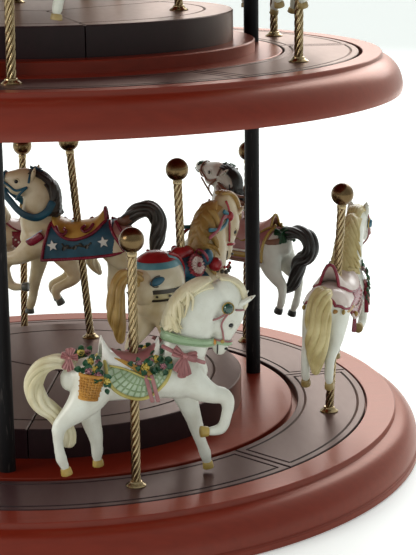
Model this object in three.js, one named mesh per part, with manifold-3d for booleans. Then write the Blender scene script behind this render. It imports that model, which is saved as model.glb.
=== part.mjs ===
// A tabletop carousel display: three round turned wood boards one above the other on slim posts,
// dark inlaid ring segments and raised disc sectors, and miniature horses on brass rods.
// Millimetres, +Z up, origin at the bottom centre of the base board.
// Headings are degrees anticlockwise from above, with 0 at the front (-Y) and 90 at +X.
import * as THREE from 'three';
import { mergeVertices } from 'three/addons/utils/BufferGeometryUtils.js';
import Module from 'manifold-3d';

const wasm = await Module();
wasm.setup();

// Driving sizes
const BASE_RADIUS = 210;
const BASE_THICK = 25.25;
const TIER_PITCH = 202.25;
const BOARD_RADIUS = 195;
const BOARD_THICK = 21;
const CLEARANCE = 0.3;
const ROUND_STEPS = 54;

// Ring of six inlaid segments, its recess and the raised disc of three sectors, by tier
const LOWER = { ringInner: 139.5, ringOuter: 178.5, recessInner: 136, recessOuter: 179.5, discRadius: 106.5 };
const UPPER = { ringInner: 132, ringOuter: 173, recessInner: 130.8, recessOuter: 175, discRadius: 103.5 };
const RECESS_DEPTH = 5;
const RING_COUNT = 6;
const RING_GAP = 0.8;
const DISC_THICK = 16.25;
const DISC_COUNT = 3;
const STEP_RADIUS = 115.5;
const STEP_HEIGHT = 6.5;

// Slim posts that carry the boards
const POST_CIRCLE = 124;
const POST_RADIUS = 4.4;
const POST_HEADINGS = [-13.3, 106.7, 226.7];

// Twisted brass rods with a round foot and a ball on top
const ROD_RADIUS = 2.38;
const ROD_SIDES = 6;
const FOOT_RADIUS = 5.3;
const FOOT_HEIGHT = 1.5;
const BALL_RADIUS = 6.25;
const BALL_HEIGHT = 124.75;

const LOWER_TOP = BASE_THICK;
const UPPER_TOP = LOWER_TOP + TIER_PITCH;
const CANOPY_TOP = UPPER_TOP + TIER_PITCH;

const mahogany = new THREE.MeshStandardMaterial({ color: 0x7a3328, roughness: 0.35 });
const darkWood = new THREE.MeshStandardMaterial({ color: 0x3a2a2c, roughness: 0.45 });
const postWood = new THREE.MeshStandardMaterial({ color: 0x17120f, roughness: 0.4 });
const brass = new THREE.MeshStandardMaterial({ color: 0xa08848, roughness: 0.3, metalness: 1 });
const resin = new THREE.MeshStandardMaterial({ color: 0xe6e0cf, roughness: 0.3 });

const carousel = new THREE.Group();

function radians(degrees) {
  return THREE.MathUtils.degToRad(degrees);
}

// A point on a circle around the middle, at a heading
function onCircle(radius, heading) {
  const angle = radians(heading);
  return [radius * Math.sin(angle), -radius * Math.cos(angle)];
}

// Closed solid of a geometry, with like corners joined and faces turned out
function solidOf(geometry) {
  const bare = geometry.clone();
  bare.deleteAttribute('normal');
  bare.deleteAttribute('uv');
  const joined = mergeVertices(bare, 1e-3);
  const corners = joined.attributes.position;
  const index = joined.index.array;
  const triangles = [];
  const a = new THREE.Vector3();
  const b = new THREE.Vector3();
  const c = new THREE.Vector3();
  let volume = 0;
  for (let i = 0; i < index.length; i += 3) {
    const [p, q, r] = [index[i], index[i + 1], index[i + 2]];
    if (p === q || q === r || r === p) continue;
    a.fromBufferAttribute(corners, p);
    b.fromBufferAttribute(corners, q);
    c.fromBufferAttribute(corners, r);
    volume += a.dot(b.cross(c));
    triangles.push([p, q, r]);
  }
  const facing = volume < 0 ? triangles.map(([p, q, r]) => [p, r, q]) : triangles;
  const mesh = new wasm.Mesh({
    numProp: 3,
    vertProperties: new Float32Array(corners.array),
    triVerts: new Uint32Array(facing.flat()),
  });
  return new wasm.Manifold(mesh);
}

// Geometry of a solid
function geometryOf(solid) {
  const mesh = solid.getMesh();
  const geometry = new THREE.BufferGeometry();
  geometry.setAttribute('position', new THREE.BufferAttribute(mesh.vertProperties, 3));
  geometry.setIndex(new THREE.BufferAttribute(mesh.triVerts, 1));
  geometry.computeVertexNormals();
  return geometry;
}

function addPiece(name, geometry, material, parent = carousel) {
  const piece = new THREE.Mesh(geometry, material);
  piece.name = name;
  parent.add(piece);
  return piece;
}

// Solid of revolution about +Z from [radius, height] points that start and end on the axis
function turned(profile, steps) {
  const points = profile.map(([radius, height]) => new THREE.Vector2(radius, height));
  return new THREE.LatheGeometry(points, steps).rotateX(Math.PI / 2);
}

// Upright round bar between two heights
function bar(radius, sides, bottom, top) {
  const geometry = new THREE.CylinderGeometry(radius, radius, top - bottom, sides);
  return geometry.rotateX(Math.PI / 2).translate(0, 0, (bottom + top) / 2);
}

// Base board: flat top with a recess for the ring, a fine step, a flared mould and an upright foot band
function baseBoard() {
  const floor = LOWER_TOP - RECESS_DEPTH;
  return turned([
    [0, 0],
    [BASE_RADIUS, 0],
    [BASE_RADIUS, 4.2],
    [BASE_RADIUS - 1.5, 5.5],
    [BASE_RADIUS - 3.5, 10],
    [BASE_RADIUS - 8, 17],
    [BASE_RADIUS - 13, 21.5],
    [BASE_RADIUS - 13.9, 22.5],
    [BASE_RADIUS - 13.9, LOWER_TOP],
    [LOWER.recessOuter, LOWER_TOP],
    [LOWER.recessOuter, floor],
    [LOWER.recessInner, floor],
    [LOWER.recessInner, LOWER_TOP],
    [0, LOWER_TOP],
  ], ROUND_STEPS);
}

// Edge mould that the upper board and the top board share: fullest just above its sharp bottom corner
function boardEdge(bottom) {
  return [
    [BOARD_RADIUS + 2.4, bottom],
    [BOARD_RADIUS + 2.8, bottom + 2.5],
    [BOARD_RADIUS + 1.8, bottom + 7.5],
    [BOARD_RADIUS - 1.2, bottom + 12.5],
    [BOARD_RADIUS - 5.5, bottom + 16.5],
    [BOARD_RADIUS - 8.4, bottom + 18.4],
    [BOARD_RADIUS - 8.8, bottom + BOARD_THICK],
  ];
}

// Middle board: recess for the ring, raised step in the middle and holes that the posts pass through
function upperBoard() {
  const bottom = UPPER_TOP - BOARD_THICK;
  const floor = UPPER_TOP - RECESS_DEPTH;
  const board = turned([
    [0, bottom],
    ...boardEdge(bottom),
    [UPPER.recessOuter, UPPER_TOP],
    [UPPER.recessOuter, floor],
    [UPPER.recessInner, floor],
    [UPPER.recessInner, UPPER_TOP],
    [STEP_RADIUS, UPPER_TOP],
    [STEP_RADIUS, UPPER_TOP + STEP_HEIGHT],
    [0, UPPER_TOP + STEP_HEIGHT],
  ], ROUND_STEPS);
  let solid = solidOf(board);
  for (const heading of POST_HEADINGS) {
    const hole = bar(POST_RADIUS + CLEARANCE, 12, bottom - 5, UPPER_TOP + 5);
    hole.translate(...onCircle(POST_CIRCLE, heading), 0);
    solid = solid.subtract(solidOf(hole));
  }
  return geometryOf(solid);
}

// Top board: plain round board with the same edge mould
function topBoard() {
  const bottom = CANOPY_TOP - BOARD_THICK;
  return turned([
    [0, bottom],
    ...boardEdge(bottom),
    [0, CANOPY_TOP],
  ], ROUND_STEPS);
}

// Flat slab with the outline of a ring or disc sector
function sector(inner, outer, span, thick, arcSteps) {
  const outline = new THREE.Shape();
  const half = radians(span) / 2;
  if (inner > 0) {
    outline.absarc(0, 0, outer, -half, half, false);
    outline.absarc(0, 0, inner, half, -half, true);
  } else {
    outline.moveTo(0, 0);
    outline.absarc(0, 0, outer, -half, half, false);
  }
  outline.closePath();
  return new THREE.ExtrudeGeometry(outline, { depth: thick, bevelEnabled: false, curveSegments: arcSteps });
}

// Turns a piece that points to +X so that it points to a heading
function turnTo(piece, heading) {
  piece.rotation.z = radians(heading - 90);
}

function addRing(tier, { ringInner, ringOuter }, top, firstHeading) {
  const step = 360 / RING_COUNT;
  const span = step - THREE.MathUtils.radToDeg(RING_GAP / ringInner);
  for (let i = 0; i < RING_COUNT; i += 1) {
    const slab = sector(ringInner, ringOuter, span, RECESS_DEPTH, 7);
    const piece = addPiece(`${tier}_ring_segment_${i + 1}`, geometryOf(solidOf(slab)), darkWood);
    piece.position.z = top - RECESS_DEPTH;
    turnTo(piece, firstHeading + step * (i + 0.5));
  }
}

function addDisc(tier, { discRadius }, bottom, firstHeading) {
  const step = 360 / DISC_COUNT;
  for (let i = 0; i < DISC_COUNT; i += 1) {
    const heading = firstHeading + step * (i + 0.5);
    const slab = sector(0, discRadius - 0.6, step, DISC_THICK, 14);
    const piece = addPiece(`${tier}_disc_sector_${i + 1}`, geometryOf(solidOf(slab)), darkWood);
    const [x, y] = onCircle(0.6, heading);
    piece.position.set(x, y, bottom);
    turnTo(piece, heading);
  }
}

function addPosts() {
  POST_HEADINGS.forEach((heading, i) => {
    const post = bar(POST_RADIUS, 12, LOWER_TOP, CANOPY_TOP - BOARD_THICK);
    const piece = addPiece(`post_${i + 1}`, post, postWood);
    piece.position.set(...onCircle(POST_CIRCLE, heading), 0);
  });
}

// Limb, neck, trunk or tail along a line of rings [forward, left, up, half width, half height]
function limb(rings, sides) {
  const last = rings.length - 1;
  const geometry = new THREE.CylinderGeometry(1, 1, 1, sides, last);
  const centres = rings.map(([x, y, z]) => new THREE.Vector3(x, y, z));
  const across = new THREE.Vector3(0, 1, 0);
  const corners = geometry.attributes.position;
  for (let i = 0; i < corners.count; i += 1) {
    const row = Math.round((0.5 - corners.getY(i)) * last);
    const before = centres[Math.max(row - 1, 0)];
    const after = centres[Math.min(row + 1, last)];
    const along = after.clone().sub(before).normalize();
    const side = across.clone().addScaledVector(along, -across.dot(along)).normalize();
    const up = along.clone().cross(side);
    const place = centres[row].clone();
    place.addScaledVector(side, corners.getX(i) * rings[row][3]);
    place.addScaledVector(up, corners.getZ(i) * rings[row][4]);
    corners.setXYZ(i, place.x, place.y, place.z);
  }
  return solidOf(geometry);
}

// Parts that all horses share, in the horse's own frame with the rod on the +Z axis
const TRUNK = [
  [-33, 0, 57, 6, 7.5],
  [-27, 0, 56.5, 11.5, 11.5],
  [-13, 0, 56.5, 13, 11.8],
  [12, 0, 57.5, 13, 12],
  [27, 0, 59, 11, 13.5],
  [36.5, 0, 61, 6, 8.5],
];
const SADDLE = [
  [-18.5, 0, 75.5, 7, 2],
  [-12, 0, 68, 12.5, 5],
  [4, 0, 66.5, 13, 5.5],
  [13, 0, 72, 7, 3],
];

// Necks, heads and the two ears of each carriage of the head
const HEADS = {
  bowed: {
    neck: [[25, 0, 60, 8.5, 12.5], [27, 0, 77, 7.5, 12.5], [29.5, 0, 88.5, 7, 12.5], [40, 0, 96.5, 6, 9]],
    head: [
      [46, 0, 100, 6, 5], [51.5, 0, 93, 6.5, 9.5], [49.5, 0, 84, 6, 8.5],
      [46.5, 0, 76, 4.5, 5.5], [45, 0, 70.5, 3.5, 4],
    ],
    ear: [[51, 3.6, 94, 2, 2.5], [61, 5.5, 97, 0.8, 0.8]],
  },
  level: {
    neck: [[24, 0, 60, 8.5, 12.5], [26.5, 0, 71, 7.5, 12], [30.5, 0, 81.5, 6.5, 10.5], [36, 0, 88.5, 5.5, 7.5]],
    head: [[37, 0, 90, 6, 7], [47, 0, 87, 6, 8], [55, 0, 82, 4.5, 6], [61, 0, 78.5, 3.6, 4.2]],
    ear: [[39.5, 3.2, 92, 2.2, 2.5], [37, 5, 100.5, 0.8, 0.8]],
  },
  proud: {
    neck: [[25, 0, 60, 8.5, 12.5], [26, 0, 74, 7.5, 11], [25.8, 0, 84, 6.5, 10], [27, 0, 92.5, 5.5, 7]],
    head: [[27, 0, 92.5, 6, 7], [36, 0, 92.5, 6, 8], [46, 0, 94, 4.5, 5.8], [54, 0, 95.5, 3.6, 4]],
    ear: [[29, 3.2, 97, 2.2, 2.5], [24, 5, 105, 0.8, 0.8]],
  },
  raised: {
    neck: [[23, 0, 60, 8.5, 12.5], [17, 0, 74, 7, 11.5], [12.5, 0, 85, 6, 10], [9.5, 0, 93, 5.5, 6.5]],
    head: [[8, 0, 92, 6, 6], [18, 0, 90.5, 6, 8], [29, 0, 94, 4.5, 5.5], [38, 0, 97.5, 3.6, 4.2]],
    ear: [[11, 3.2, 93, 2.2, 2.5], [0, 5, 97, 0.8, 0.8]],
  },
};

// Tails
const TAILS = {
  curled: [
    [-30, 0, 62, 4, 4], [-38, 0, 64.5, 4.2, 4.2], [-46, 0, 63, 4.6, 4.6], [-50.5, 0, 55, 4.8, 4.8],
    [-46.5, 0, 45.5, 4.6, 4.8], [-37, 0, 38, 4, 4], [-32, 0, 25, 4, 4.5],
  ],
  arched: [
    [-28, 0, 63, 4, 4], [-36, 0, 71.5, 5, 5.5], [-45.5, 0, 75, 5.5, 5.5], [-50.5, 0, 68, 5.5, 5],
    [-49, 0, 56, 5, 4.8], [-46, 0, 45, 3, 3],
  ],
  looped: [
    [-29, 0, 63, 4, 4], [-41, 0, 66.5, 4.5, 4.5], [-51, 0, 65, 5, 5], [-53, 0, 56, 5, 5],
    [-45, 0, 49.5, 4.8, 4.8], [-43, 0, 38, 5, 4.5], [-34, 0, 29, 3, 3],
  ],
  hanging: [
    [-27, 0, 64, 4.5, 4], [-37, 0, 66, 6.5, 4.5], [-41, 0, 55, 7.5, 4.5],
    [-41, 0, 40, 6.5, 4], [-40, 0, 26, 3, 2.5],
  ],
};

// Legs, from the body down to the hoof
const LEGS = {
  foreRaised: [
    [26, 0, 54, 5.5, 8], [39, 0, 47, 4.2, 5.2], [48.5, 0, 44, 3.6, 4.2],
    [49.5, 0, 36, 2.9, 3.2], [46, 0, 28.5, 2.9, 3], [37, 0, 27.5, 3.4, 3.6],
  ],
  foreStraight: [
    [27, 0, 53, 5.5, 8], [30.5, 0, 40, 4.2, 5], [34, 0, 29, 3.3, 3.7],
    [37.5, 0, 17, 2.7, 2.9], [39.5, 0, 9.5, 3.6, 3.6],
  ],
  foreDown: [
    [26, 0, 53, 5.5, 8], [25.5, 0, 40, 4.2, 5], [25, 0, 31, 3.3, 3.7],
    [22.5, 0, 20.5, 2.7, 2.9], [21, 0, 13, 3.6, 3.6],
  ],
  hindBack: [
    [-23, 0, 54, 6.5, 10], [-28.5, 0, 39, 4.8, 6.5], [-38.5, 0, 29.5, 3.3, 3.8],
    [-40, 0, 19, 2.7, 2.9], [-36.5, 0, 7, 3.8, 3.9],
  ],
  hindUnder: [
    [-22, 0, 53, 6.5, 9.5], [-20.5, 0, 38, 4.8, 6], [-18.5, 0, 27, 3.2, 3.5],
    [-19.5, 0, 18, 2.7, 2.9], [-18.5, 0, 11.5, 3.6, 3.6],
  ],
  hindReach: [
    [-21.5, 0, 53, 6.5, 9.5], [-17.5, 0, 39, 4.8, 6], [-13, 0, 28.5, 3.2, 3.5],
    [-12.5, 0, 18.5, 2.7, 2.9], [-10.5, 0, 11.5, 3.6, 3.6],
  ],
  hindFolded: [
    [-24, 0, 54, 6.5, 9.5], [-28, 0, 42, 4.8, 6.5], [-35, 0, 34, 3.3, 3.8],
    [-35.5, 0, 23, 2.7, 2.9], [-33, 0, 15, 3.6, 3.7],
  ],
};

// Pose of each model: head, tail and the four legs, with -1 on the right side and 1 on the left
const POSES = {
  bowed: {
    head: 'bowed', tail: 'curled',
    legs: [['foreRaised', -1], ['foreStraight', 1], ['hindBack', -1], ['hindUnder', 1]],
  },
  nodding: {
    head: 'bowed', tail: 'arched',
    legs: [['foreRaised', -1], ['foreStraight', 1], ['hindUnder', -1], ['hindBack', 1]],
  },
  stepping: {
    head: 'level', tail: 'hanging',
    legs: [['foreRaised', -1], ['foreStraight', 1], ['hindFolded', -1], ['hindFolded', 1]],
  },
  leaping: {
    head: 'level', tail: 'hanging',
    legs: [['foreRaised', -1], ['foreDown', 1], ['hindReach', -1], ['hindReach', 1]],
  },
  tossing: {
    head: 'raised', tail: 'looped',
    legs: [['foreRaised', 1], ['foreStraight', -1], ['hindFolded', 1], ['hindBack', -1]],
  },
  proud: {
    head: 'proud', tail: 'arched',
    legs: [['foreRaised', 1], ['foreStraight', -1], ['hindBack', 1], ['hindUnder', -1]],
  },
};
const LEG_OFFSET = 6.5;

// Rings moved to one side
function atSide(rings, side) {
  return rings.map(([x, y, z, w, h]) => [x, side * (y + LEG_OFFSET), z, w, h]);
}

function horse(pose) {
  const { head, tail, legs } = POSES[pose];
  let body = limb(TRUNK, 8);
  body = body.add(limb(SADDLE, 6));
  body = body.add(limb(HEADS[head].neck, 6));
  body = body.add(limb(HEADS[head].head, 6));
  body = body.add(limb(TAILS[tail], 4));
  for (const side of [-1, 1]) {
    const ear = HEADS[head].ear.map(([x, y, z, w, h]) => [x, side * y, z, w, h]);
    body = body.add(limb(ear, 3));
  }
  for (const [leg, side] of legs) {
    body = body.add(limb(atSide(LEGS[leg], side), 4));
  }
  const hole = bar(ROD_RADIUS + CLEARANCE, ROD_SIDES, 20, 90);
  return geometryOf(body.subtract(solidOf(hole)));
}

// Rod with its foot flat on the deck and its ball shifted sideways by the lean
function rod(tilt) {
  const foot = turned([
    [0, 0],
    [FOOT_RADIUS, 0],
    [FOOT_RADIUS, 0.7],
    [FOOT_RADIUS - 2, FOOT_HEIGHT],
    [0, FOOT_HEIGHT + 0.8],
  ], ROD_SIDES);
  const shaft = turned([
    [0, 0.5],
    [ROD_RADIUS, 0.5],
    [ROD_RADIUS, BALL_HEIGHT - 5.5],
    [BALL_RADIUS * 0.9, BALL_HEIGHT - BALL_RADIUS * 0.45],
    [BALL_RADIUS, BALL_HEIGHT],
    [BALL_RADIUS * 0.87, BALL_HEIGHT + BALL_RADIUS * 0.5],
    [BALL_RADIUS * 0.5, BALL_HEIGHT + BALL_RADIUS * 0.87],
    [0, BALL_HEIGHT + BALL_RADIUS],
  ], ROD_SIDES);
  shaft.applyQuaternion(tilt);
  return geometryOf(solidOf(foot).add(solidOf(shaft)));
}

// Turn that leans an upright rod so that its ball moves by [forward, left]
function leanTurn([forward, left]) {
  const upright = new THREE.Vector3(0, 0, 1);
  const leaning = new THREE.Vector3(forward, left, BALL_HEIGHT).normalize();
  return new THREE.Quaternion().setFromUnitVectors(upright, leaning);
}

// One horse on its rod, heading anticlockwise round the deck and raised by its lift along the rod
function addRider(name, deck, { pose, circle, heading, turn = 0, lean = [0, 0], lift = 0 }) {
  const stand = new THREE.Group();
  stand.position.set(...onCircle(circle, heading), deck);
  stand.rotation.z = radians(heading + turn);
  carousel.add(stand);
  const tilt = leanTurn(lean);
  addPiece(`${name}_rod`, rod(tilt), brass, stand);
  const rider = addPiece(`${name}_horse`, horse(pose).translate(0, 0, lift), resin, stand);
  rider.quaternion.copy(tilt);
}

// Riders of each tier; the lean is how far the ball stands forward and left of the foot
const LOWER_OUTER = [
  { pose: 'bowed', circle: 156, heading: 13.4, lean: [-0.1, -2.4] },
  { pose: 'stepping', circle: 159, heading: 72.8, lean: [-2.6, -7], lift: 11 },
  { pose: 'tossing', circle: 162, heading: 130.7, lean: [-1.5, -1.5], lift: 12 },
  { pose: 'proud', circle: 155, heading: 188.4, lean: [-3.2, 0.5], lift: 8 },
  { pose: 'nodding', circle: 157, heading: 252, lean: [2, -2] },
  { pose: 'stepping', circle: 157, heading: 312, lean: [-2, 2], lift: 6 },
];
const LOWER_INNER = [
  { pose: 'proud', circle: 73.5, heading: 164, lean: [8, 8], lift: 7 },
  { pose: 'stepping', circle: 73.5, heading: 284, lean: [-2, 2], lift: 6 },
  { pose: 'nodding', circle: 88, heading: 53.5, turn: -7, lean: [-1.9, 3.2] },
];
const UPPER_OUTER = [
  { pose: 'leaping', circle: 152.8, heading: -6.7, lean: [2, -1], lift: 17 },
  { pose: 'leaping', circle: 152.8, heading: 57.5, lean: [2, 0], lift: 18 },
  { pose: 'leaping', circle: 152.8, heading: 116.5, lean: [-2, 2], lift: 4 },
  { pose: 'proud', circle: 152.8, heading: 176.5, lean: [2, -2], lift: 6 },
  { pose: 'nodding', circle: 152.8, heading: 236.5, lean: [0, 2], lift: 2 },
  { pose: 'tossing', circle: 152.8, heading: 296.5, lean: [-2, 0], lift: 6 },
];
const UPPER_INNER = [
  { pose: 'bowed', circle: 74, heading: 78, lean: [0, 2], lift: 4 },
  { pose: 'tossing', circle: 74, heading: 194, lean: [2, 2], lift: 4 },
  { pose: 'stepping', circle: 74, heading: 314, lean: [-2, 2], lift: 6 },
];

function addRiders(group, deck, riders) {
  riders.forEach((rider, i) => {
    addRider(`${group}_${i + 1}`, deck, rider);
  });
}

addPiece('base_board', geometryOf(solidOf(baseBoard())), mahogany);
addPiece('upper_board', upperBoard(), mahogany);
addPiece('top_board', geometryOf(solidOf(topBoard())), mahogany);
addPosts();
addRing('lower', LOWER, LOWER_TOP, -18);
addRing('upper', UPPER, UPPER_TOP, -26);
addDisc('lower', LOWER, LOWER_TOP, -8);
addDisc('upper', UPPER, UPPER_TOP + STEP_HEIGHT, 12);
addRiders('lower_outer', LOWER_TOP, LOWER_OUTER);
addRiders('lower_inner', LOWER_TOP + DISC_THICK, LOWER_INNER);
addRiders('upper_outer', UPPER_TOP, UPPER_OUTER);
addRiders('upper_inner', UPPER_TOP + STEP_HEIGHT + DISC_THICK, UPPER_INNER);

export default carousel;
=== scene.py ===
"""Looks of the tabletop carousel display: turned boards, inlaid dark wood, brass rods and painted horses."""

import math

import bpy
import numpy as np
from mathutils import Euler, Matrix, Vector


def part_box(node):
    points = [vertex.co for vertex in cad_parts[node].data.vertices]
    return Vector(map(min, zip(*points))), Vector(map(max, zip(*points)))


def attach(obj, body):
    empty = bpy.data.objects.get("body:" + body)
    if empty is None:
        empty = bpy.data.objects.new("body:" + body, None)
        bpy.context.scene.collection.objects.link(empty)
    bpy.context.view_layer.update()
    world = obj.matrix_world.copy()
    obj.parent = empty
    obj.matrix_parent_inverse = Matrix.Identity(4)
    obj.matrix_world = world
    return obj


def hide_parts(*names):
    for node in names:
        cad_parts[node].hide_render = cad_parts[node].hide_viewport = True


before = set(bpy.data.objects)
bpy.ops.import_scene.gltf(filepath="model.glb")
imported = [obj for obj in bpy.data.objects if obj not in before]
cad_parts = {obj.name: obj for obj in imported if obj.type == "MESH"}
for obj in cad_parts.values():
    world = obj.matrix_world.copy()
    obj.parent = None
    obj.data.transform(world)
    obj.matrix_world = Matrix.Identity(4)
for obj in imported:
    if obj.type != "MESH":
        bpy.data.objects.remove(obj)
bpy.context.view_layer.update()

MM = 0.001
TURN_STEPS = 192

# Camera, from the round boards in the photograph
CAMERA_PLACE = (0, -923.3, 316.6)
CAMERA_YAW = -5.45
CAMERA_PITCH = 13.467
CAMERA_ROLL = -0.734
CAMERA_LENS = 106.0
LAMP_AIM = (0, 0, 0.15)

# Heights and radii in millimetres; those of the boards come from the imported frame
BASE_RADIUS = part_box("base_board")[1].x / MM
BASE_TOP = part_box("base_board")[1].z / MM
UPPER_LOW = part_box("upper_board")[0].z / MM
STEP_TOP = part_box("upper_board")[1].z / MM
BOARD_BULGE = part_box("upper_board")[1].x / MM
TOP_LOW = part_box("top_board")[0].z / MM
CANOPY_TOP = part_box("top_board")[1].z / MM
BOARD_THICK = CANOPY_TOP - TOP_LOW
UPPER_TOP = UPPER_LOW + BOARD_THICK
STEP_RADIUS = 115.5
RECESS_DEPTH = 5
POST_RADIUS = 4.4
ROD_RADIUS = 2.38
BALL_RADIUS = 6.25
TWIST_PITCH = 26.0
TWIST_STRANDS = 6

# Distance of the strands' centres from the rod's axis in strand radii, and how far they press together
TWIST_SPREAD = 1 / math.sin(math.pi / TWIST_STRANDS)
TWIST_PRESS = 1.03

# How much shorter than the rod's axis the strands are, and how far above its foot they start
TWIST_SHORT = 6.2
TWIST_FOOT = 0.8

# Recess, ring and disc radii of each tier
TIERS = {
    "lower": {"recess_inner": 136, "recess_outer": 179.5, "ring_inner": 139.5, "ring_outer": 178.5,
              "disc": 106.5},
    "upper": {"recess_inner": 130.8, "recess_outer": 175, "ring_inner": 132, "ring_outer": 173,
              "disc": 103.5}}


def colour(code):
    """Linear colour of an sRGB hex value."""
    parts = [int(code[i:i + 2], 16) / 255 for i in (1, 3, 5)]
    line = [p / 12.92 if p <= 0.04045 else ((p + 0.055) / 1.055) ** 2.4 for p in parts]
    return (*line, 1.0)


def add(tree, kind, inputs=None, **settings):
    """Adds a node with its settings, values and links."""
    made = tree.nodes.new(kind)
    for name, value in settings.items():
        setattr(made, name, value)
    for key, value in (inputs or {}).items():
        if isinstance(value, bpy.types.NodeSocket):
            tree.links.new(value, made.inputs[key])
        else:
            made.inputs[key].default_value = value
    return made


def new_material(name):
    """Material with an empty node tree, and the tree."""
    material = bpy.data.materials.new(name)
    material.use_nodes = True
    material.node_tree.nodes.clear()
    return material, material.node_tree


def finish_material(tree, surface):
    """Puts a shader out as the surface."""
    add(tree, "ShaderNodeOutputMaterial", {"Surface": surface.outputs[0]})


def lacquered_mahogany():
    """Turned mahogany under a red-tinted satin lacquer: soft dark grain, a salmon sheen at low angles."""
    material, tree = new_material("lacquered_mahogany")
    place = add(tree, "ShaderNodeTexCoord").outputs["Object"]
    along = add(tree, "ShaderNodeMapping", {"Vector": place, "Scale": (60, 420, 260)})
    grain = add(tree, "ShaderNodeTexNoise", {"Vector": along.outputs[0], "Scale": 1.0, "Detail": 6.0})
    cloud = add(tree, "ShaderNodeTexNoise", {"Vector": place, "Scale": 22.0, "Detail": 3.0})
    wood = add(tree, "ShaderNodeMix", {0: grain.outputs[0], 6: colour("#601d12"), 7: colour("#8c3321")},
               data_type="RGBA")
    tone = add(tree, "ShaderNodeMix", {0: cloud.outputs[0], 6: wood.outputs[2], 7: colour("#702617")},
               data_type="RGBA")
    fine = add(tree, "ShaderNodeTexNoise", {"Vector": along.outputs[0], "Scale": 9.0, "Detail": 4.0})
    bump = add(tree, "ShaderNodeBump", {"Height": fine.outputs[0], "Strength": 0.08, "Distance": 0.0004})
    shine = add(tree, "ShaderNodeMapRange", {0: fine.outputs[0], 3: 0.3, 4: 0.42})
    surface = add(tree, "ShaderNodeBsdfPrincipled", {
        "Base Color": tone.outputs[2], "Roughness": shine.outputs[0], "Normal": bump.outputs[0], "IOR": 1.5,
        "Coat Weight": 1.0, "Coat IOR": 1.1, "Coat Roughness": 0.24, "Coat Tint": colour("#fadfd3")})
    finish_material(tree, surface)
    return material


def stained_wood():
    """Dark stained close-grained wood, waxed: near black purple brown, its upward faces lightened by a
    painted sheen.
    """
    material, tree = new_material("stained_dark_wood")
    place = add(tree, "ShaderNodeTexCoord").outputs["Object"]
    along = add(tree, "ShaderNodeMapping", {"Vector": place, "Scale": (300, 70, 200)})
    grain = add(tree, "ShaderNodeTexNoise", {"Vector": along.outputs[0], "Scale": 1.0, "Detail": 7.0})
    tone = add(tree, "ShaderNodeMix", {0: grain.outputs[0], 6: colour("#170c12"), 7: colour("#2b181f")},
               data_type="RGBA")
    normal = add(tree, "ShaderNodeNewGeometry").outputs["Normal"]
    upward = add(tree, "ShaderNodeSeparateXYZ", {0: normal}).outputs["Z"]
    # Upward faces are mixed towards a pale grey-mauve: a painted sheen on the tops.
    top_sheen_mask = add(tree, "ShaderNodeMapRange", {0: upward, 1: 0.6, 2: 0.98, 3: 0.0, 4: 0.24})
    top_sheen_tone = add(tree, "ShaderNodeMix", {0: top_sheen_mask.outputs[0], 6: tone.outputs[2], 7: colour("#6c565e")},
               data_type="RGBA")
    bump = add(tree, "ShaderNodeBump", {"Height": grain.outputs[0], "Strength": 0.1, "Distance": 0.0003})
    shine = add(tree, "ShaderNodeMapRange", {0: grain.outputs[0], 3: 0.3, 4: 0.42})
    surface = add(tree, "ShaderNodeBsdfPrincipled", {
        "Base Color": top_sheen_tone.outputs[2], "Roughness": shine.outputs[0], "Normal": bump.outputs[0], "IOR": 1.38,
        "Coat Weight": 1.0, "Coat IOR": 1.05, "Coat Roughness": 0.3, "Coat Tint": colour("#fdf2ec")})
    finish_material(tree, surface)
    return material


def scratched_black_post():
    """Slim black stained post with fine pale scratches along and across it."""
    material, tree = new_material("scratched_black_post")
    place = add(tree, "ShaderNodeTexCoord").outputs["Object"]
    turn = add(tree, "ShaderNodeMapping",
               {"Vector": place, "Rotation": (0.5, 0.3, 0.2), "Scale": (900, 900, 90)})
    lines = add(tree, "ShaderNodeTexNoise", {"Vector": turn.outputs[0], "Scale": 1.0, "Detail": 4.0})
    marks = add(tree, "ShaderNodeMapRange", {0: lines.outputs[0], 1: 0.62, 2: 0.7, 3: 0.0, 4: 0.6})
    tone = add(tree, "ShaderNodeMix", {0: marks.outputs[0], 6: colour("#0b080b"), 7: colour("#443e3c")},
               data_type="RGBA")
    bump = add(tree, "ShaderNodeBump", {"Height": lines.outputs[0], "Strength": 0.15, "Distance": 0.0003})
    surface = add(tree, "ShaderNodeBsdfPrincipled", {
        "Base Color": tone.outputs[2], "Roughness": 0.5, "Normal": bump.outputs[0], "IOR": 1.3})
    finish_material(tree, surface)
    return material


def aged_brass(name, dark, light, shine):
    """Polished brass dulled by handling: warm metal, brown tarnish in clouds and between the strands."""
    material, tree = new_material(name)
    place = add(tree, "ShaderNodeTexCoord").outputs["Object"]
    cloud = add(tree, "ShaderNodeTexNoise", {"Vector": place, "Scale": 160.0, "Detail": 5.0})
    metal = add(tree, "ShaderNodeMix", {0: cloud.outputs[0], 6: colour(dark), 7: colour(light)},
                data_type="RGBA")
    hollow = add(tree, "ShaderNodeNewGeometry").outputs["Pointiness"]
    dirt = add(tree, "ShaderNodeMapRange", {0: hollow, 1: 0.52, 2: 0.42, 3: 0.0, 4: 0.85})
    tone = add(tree, "ShaderNodeMix", {0: dirt.outputs[0], 6: metal.outputs[2], 7: colour("#241a10")},
               data_type="RGBA")
    rough = add(tree, "ShaderNodeMapRange", {0: cloud.outputs[0], 3: shine[1], 4: shine[0]})
    surface = add(tree, "ShaderNodeBsdfPrincipled", {
        "Base Color": tone.outputs[2], "Roughness": rough.outputs[0], "Metallic": 1.0})
    finish_material(tree, surface)
    return material


MAHOGANY = lacquered_mahogany()
DARK_WOOD = stained_wood()
BLACK_POST = scratched_black_post()
BRASS = aged_brass("aged_brass_rod", "#7d6a4c", "#c9b38c", (0.14, 0.28))
# The balls get a darker copy of the rod's brass: painted shade for the dark surroundings they reflect.
SHADED_BALL_BRASS = aged_brass("brass_ball_painted_shade", "#523f2c", "#86704e", (0.16, 0.3))


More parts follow.
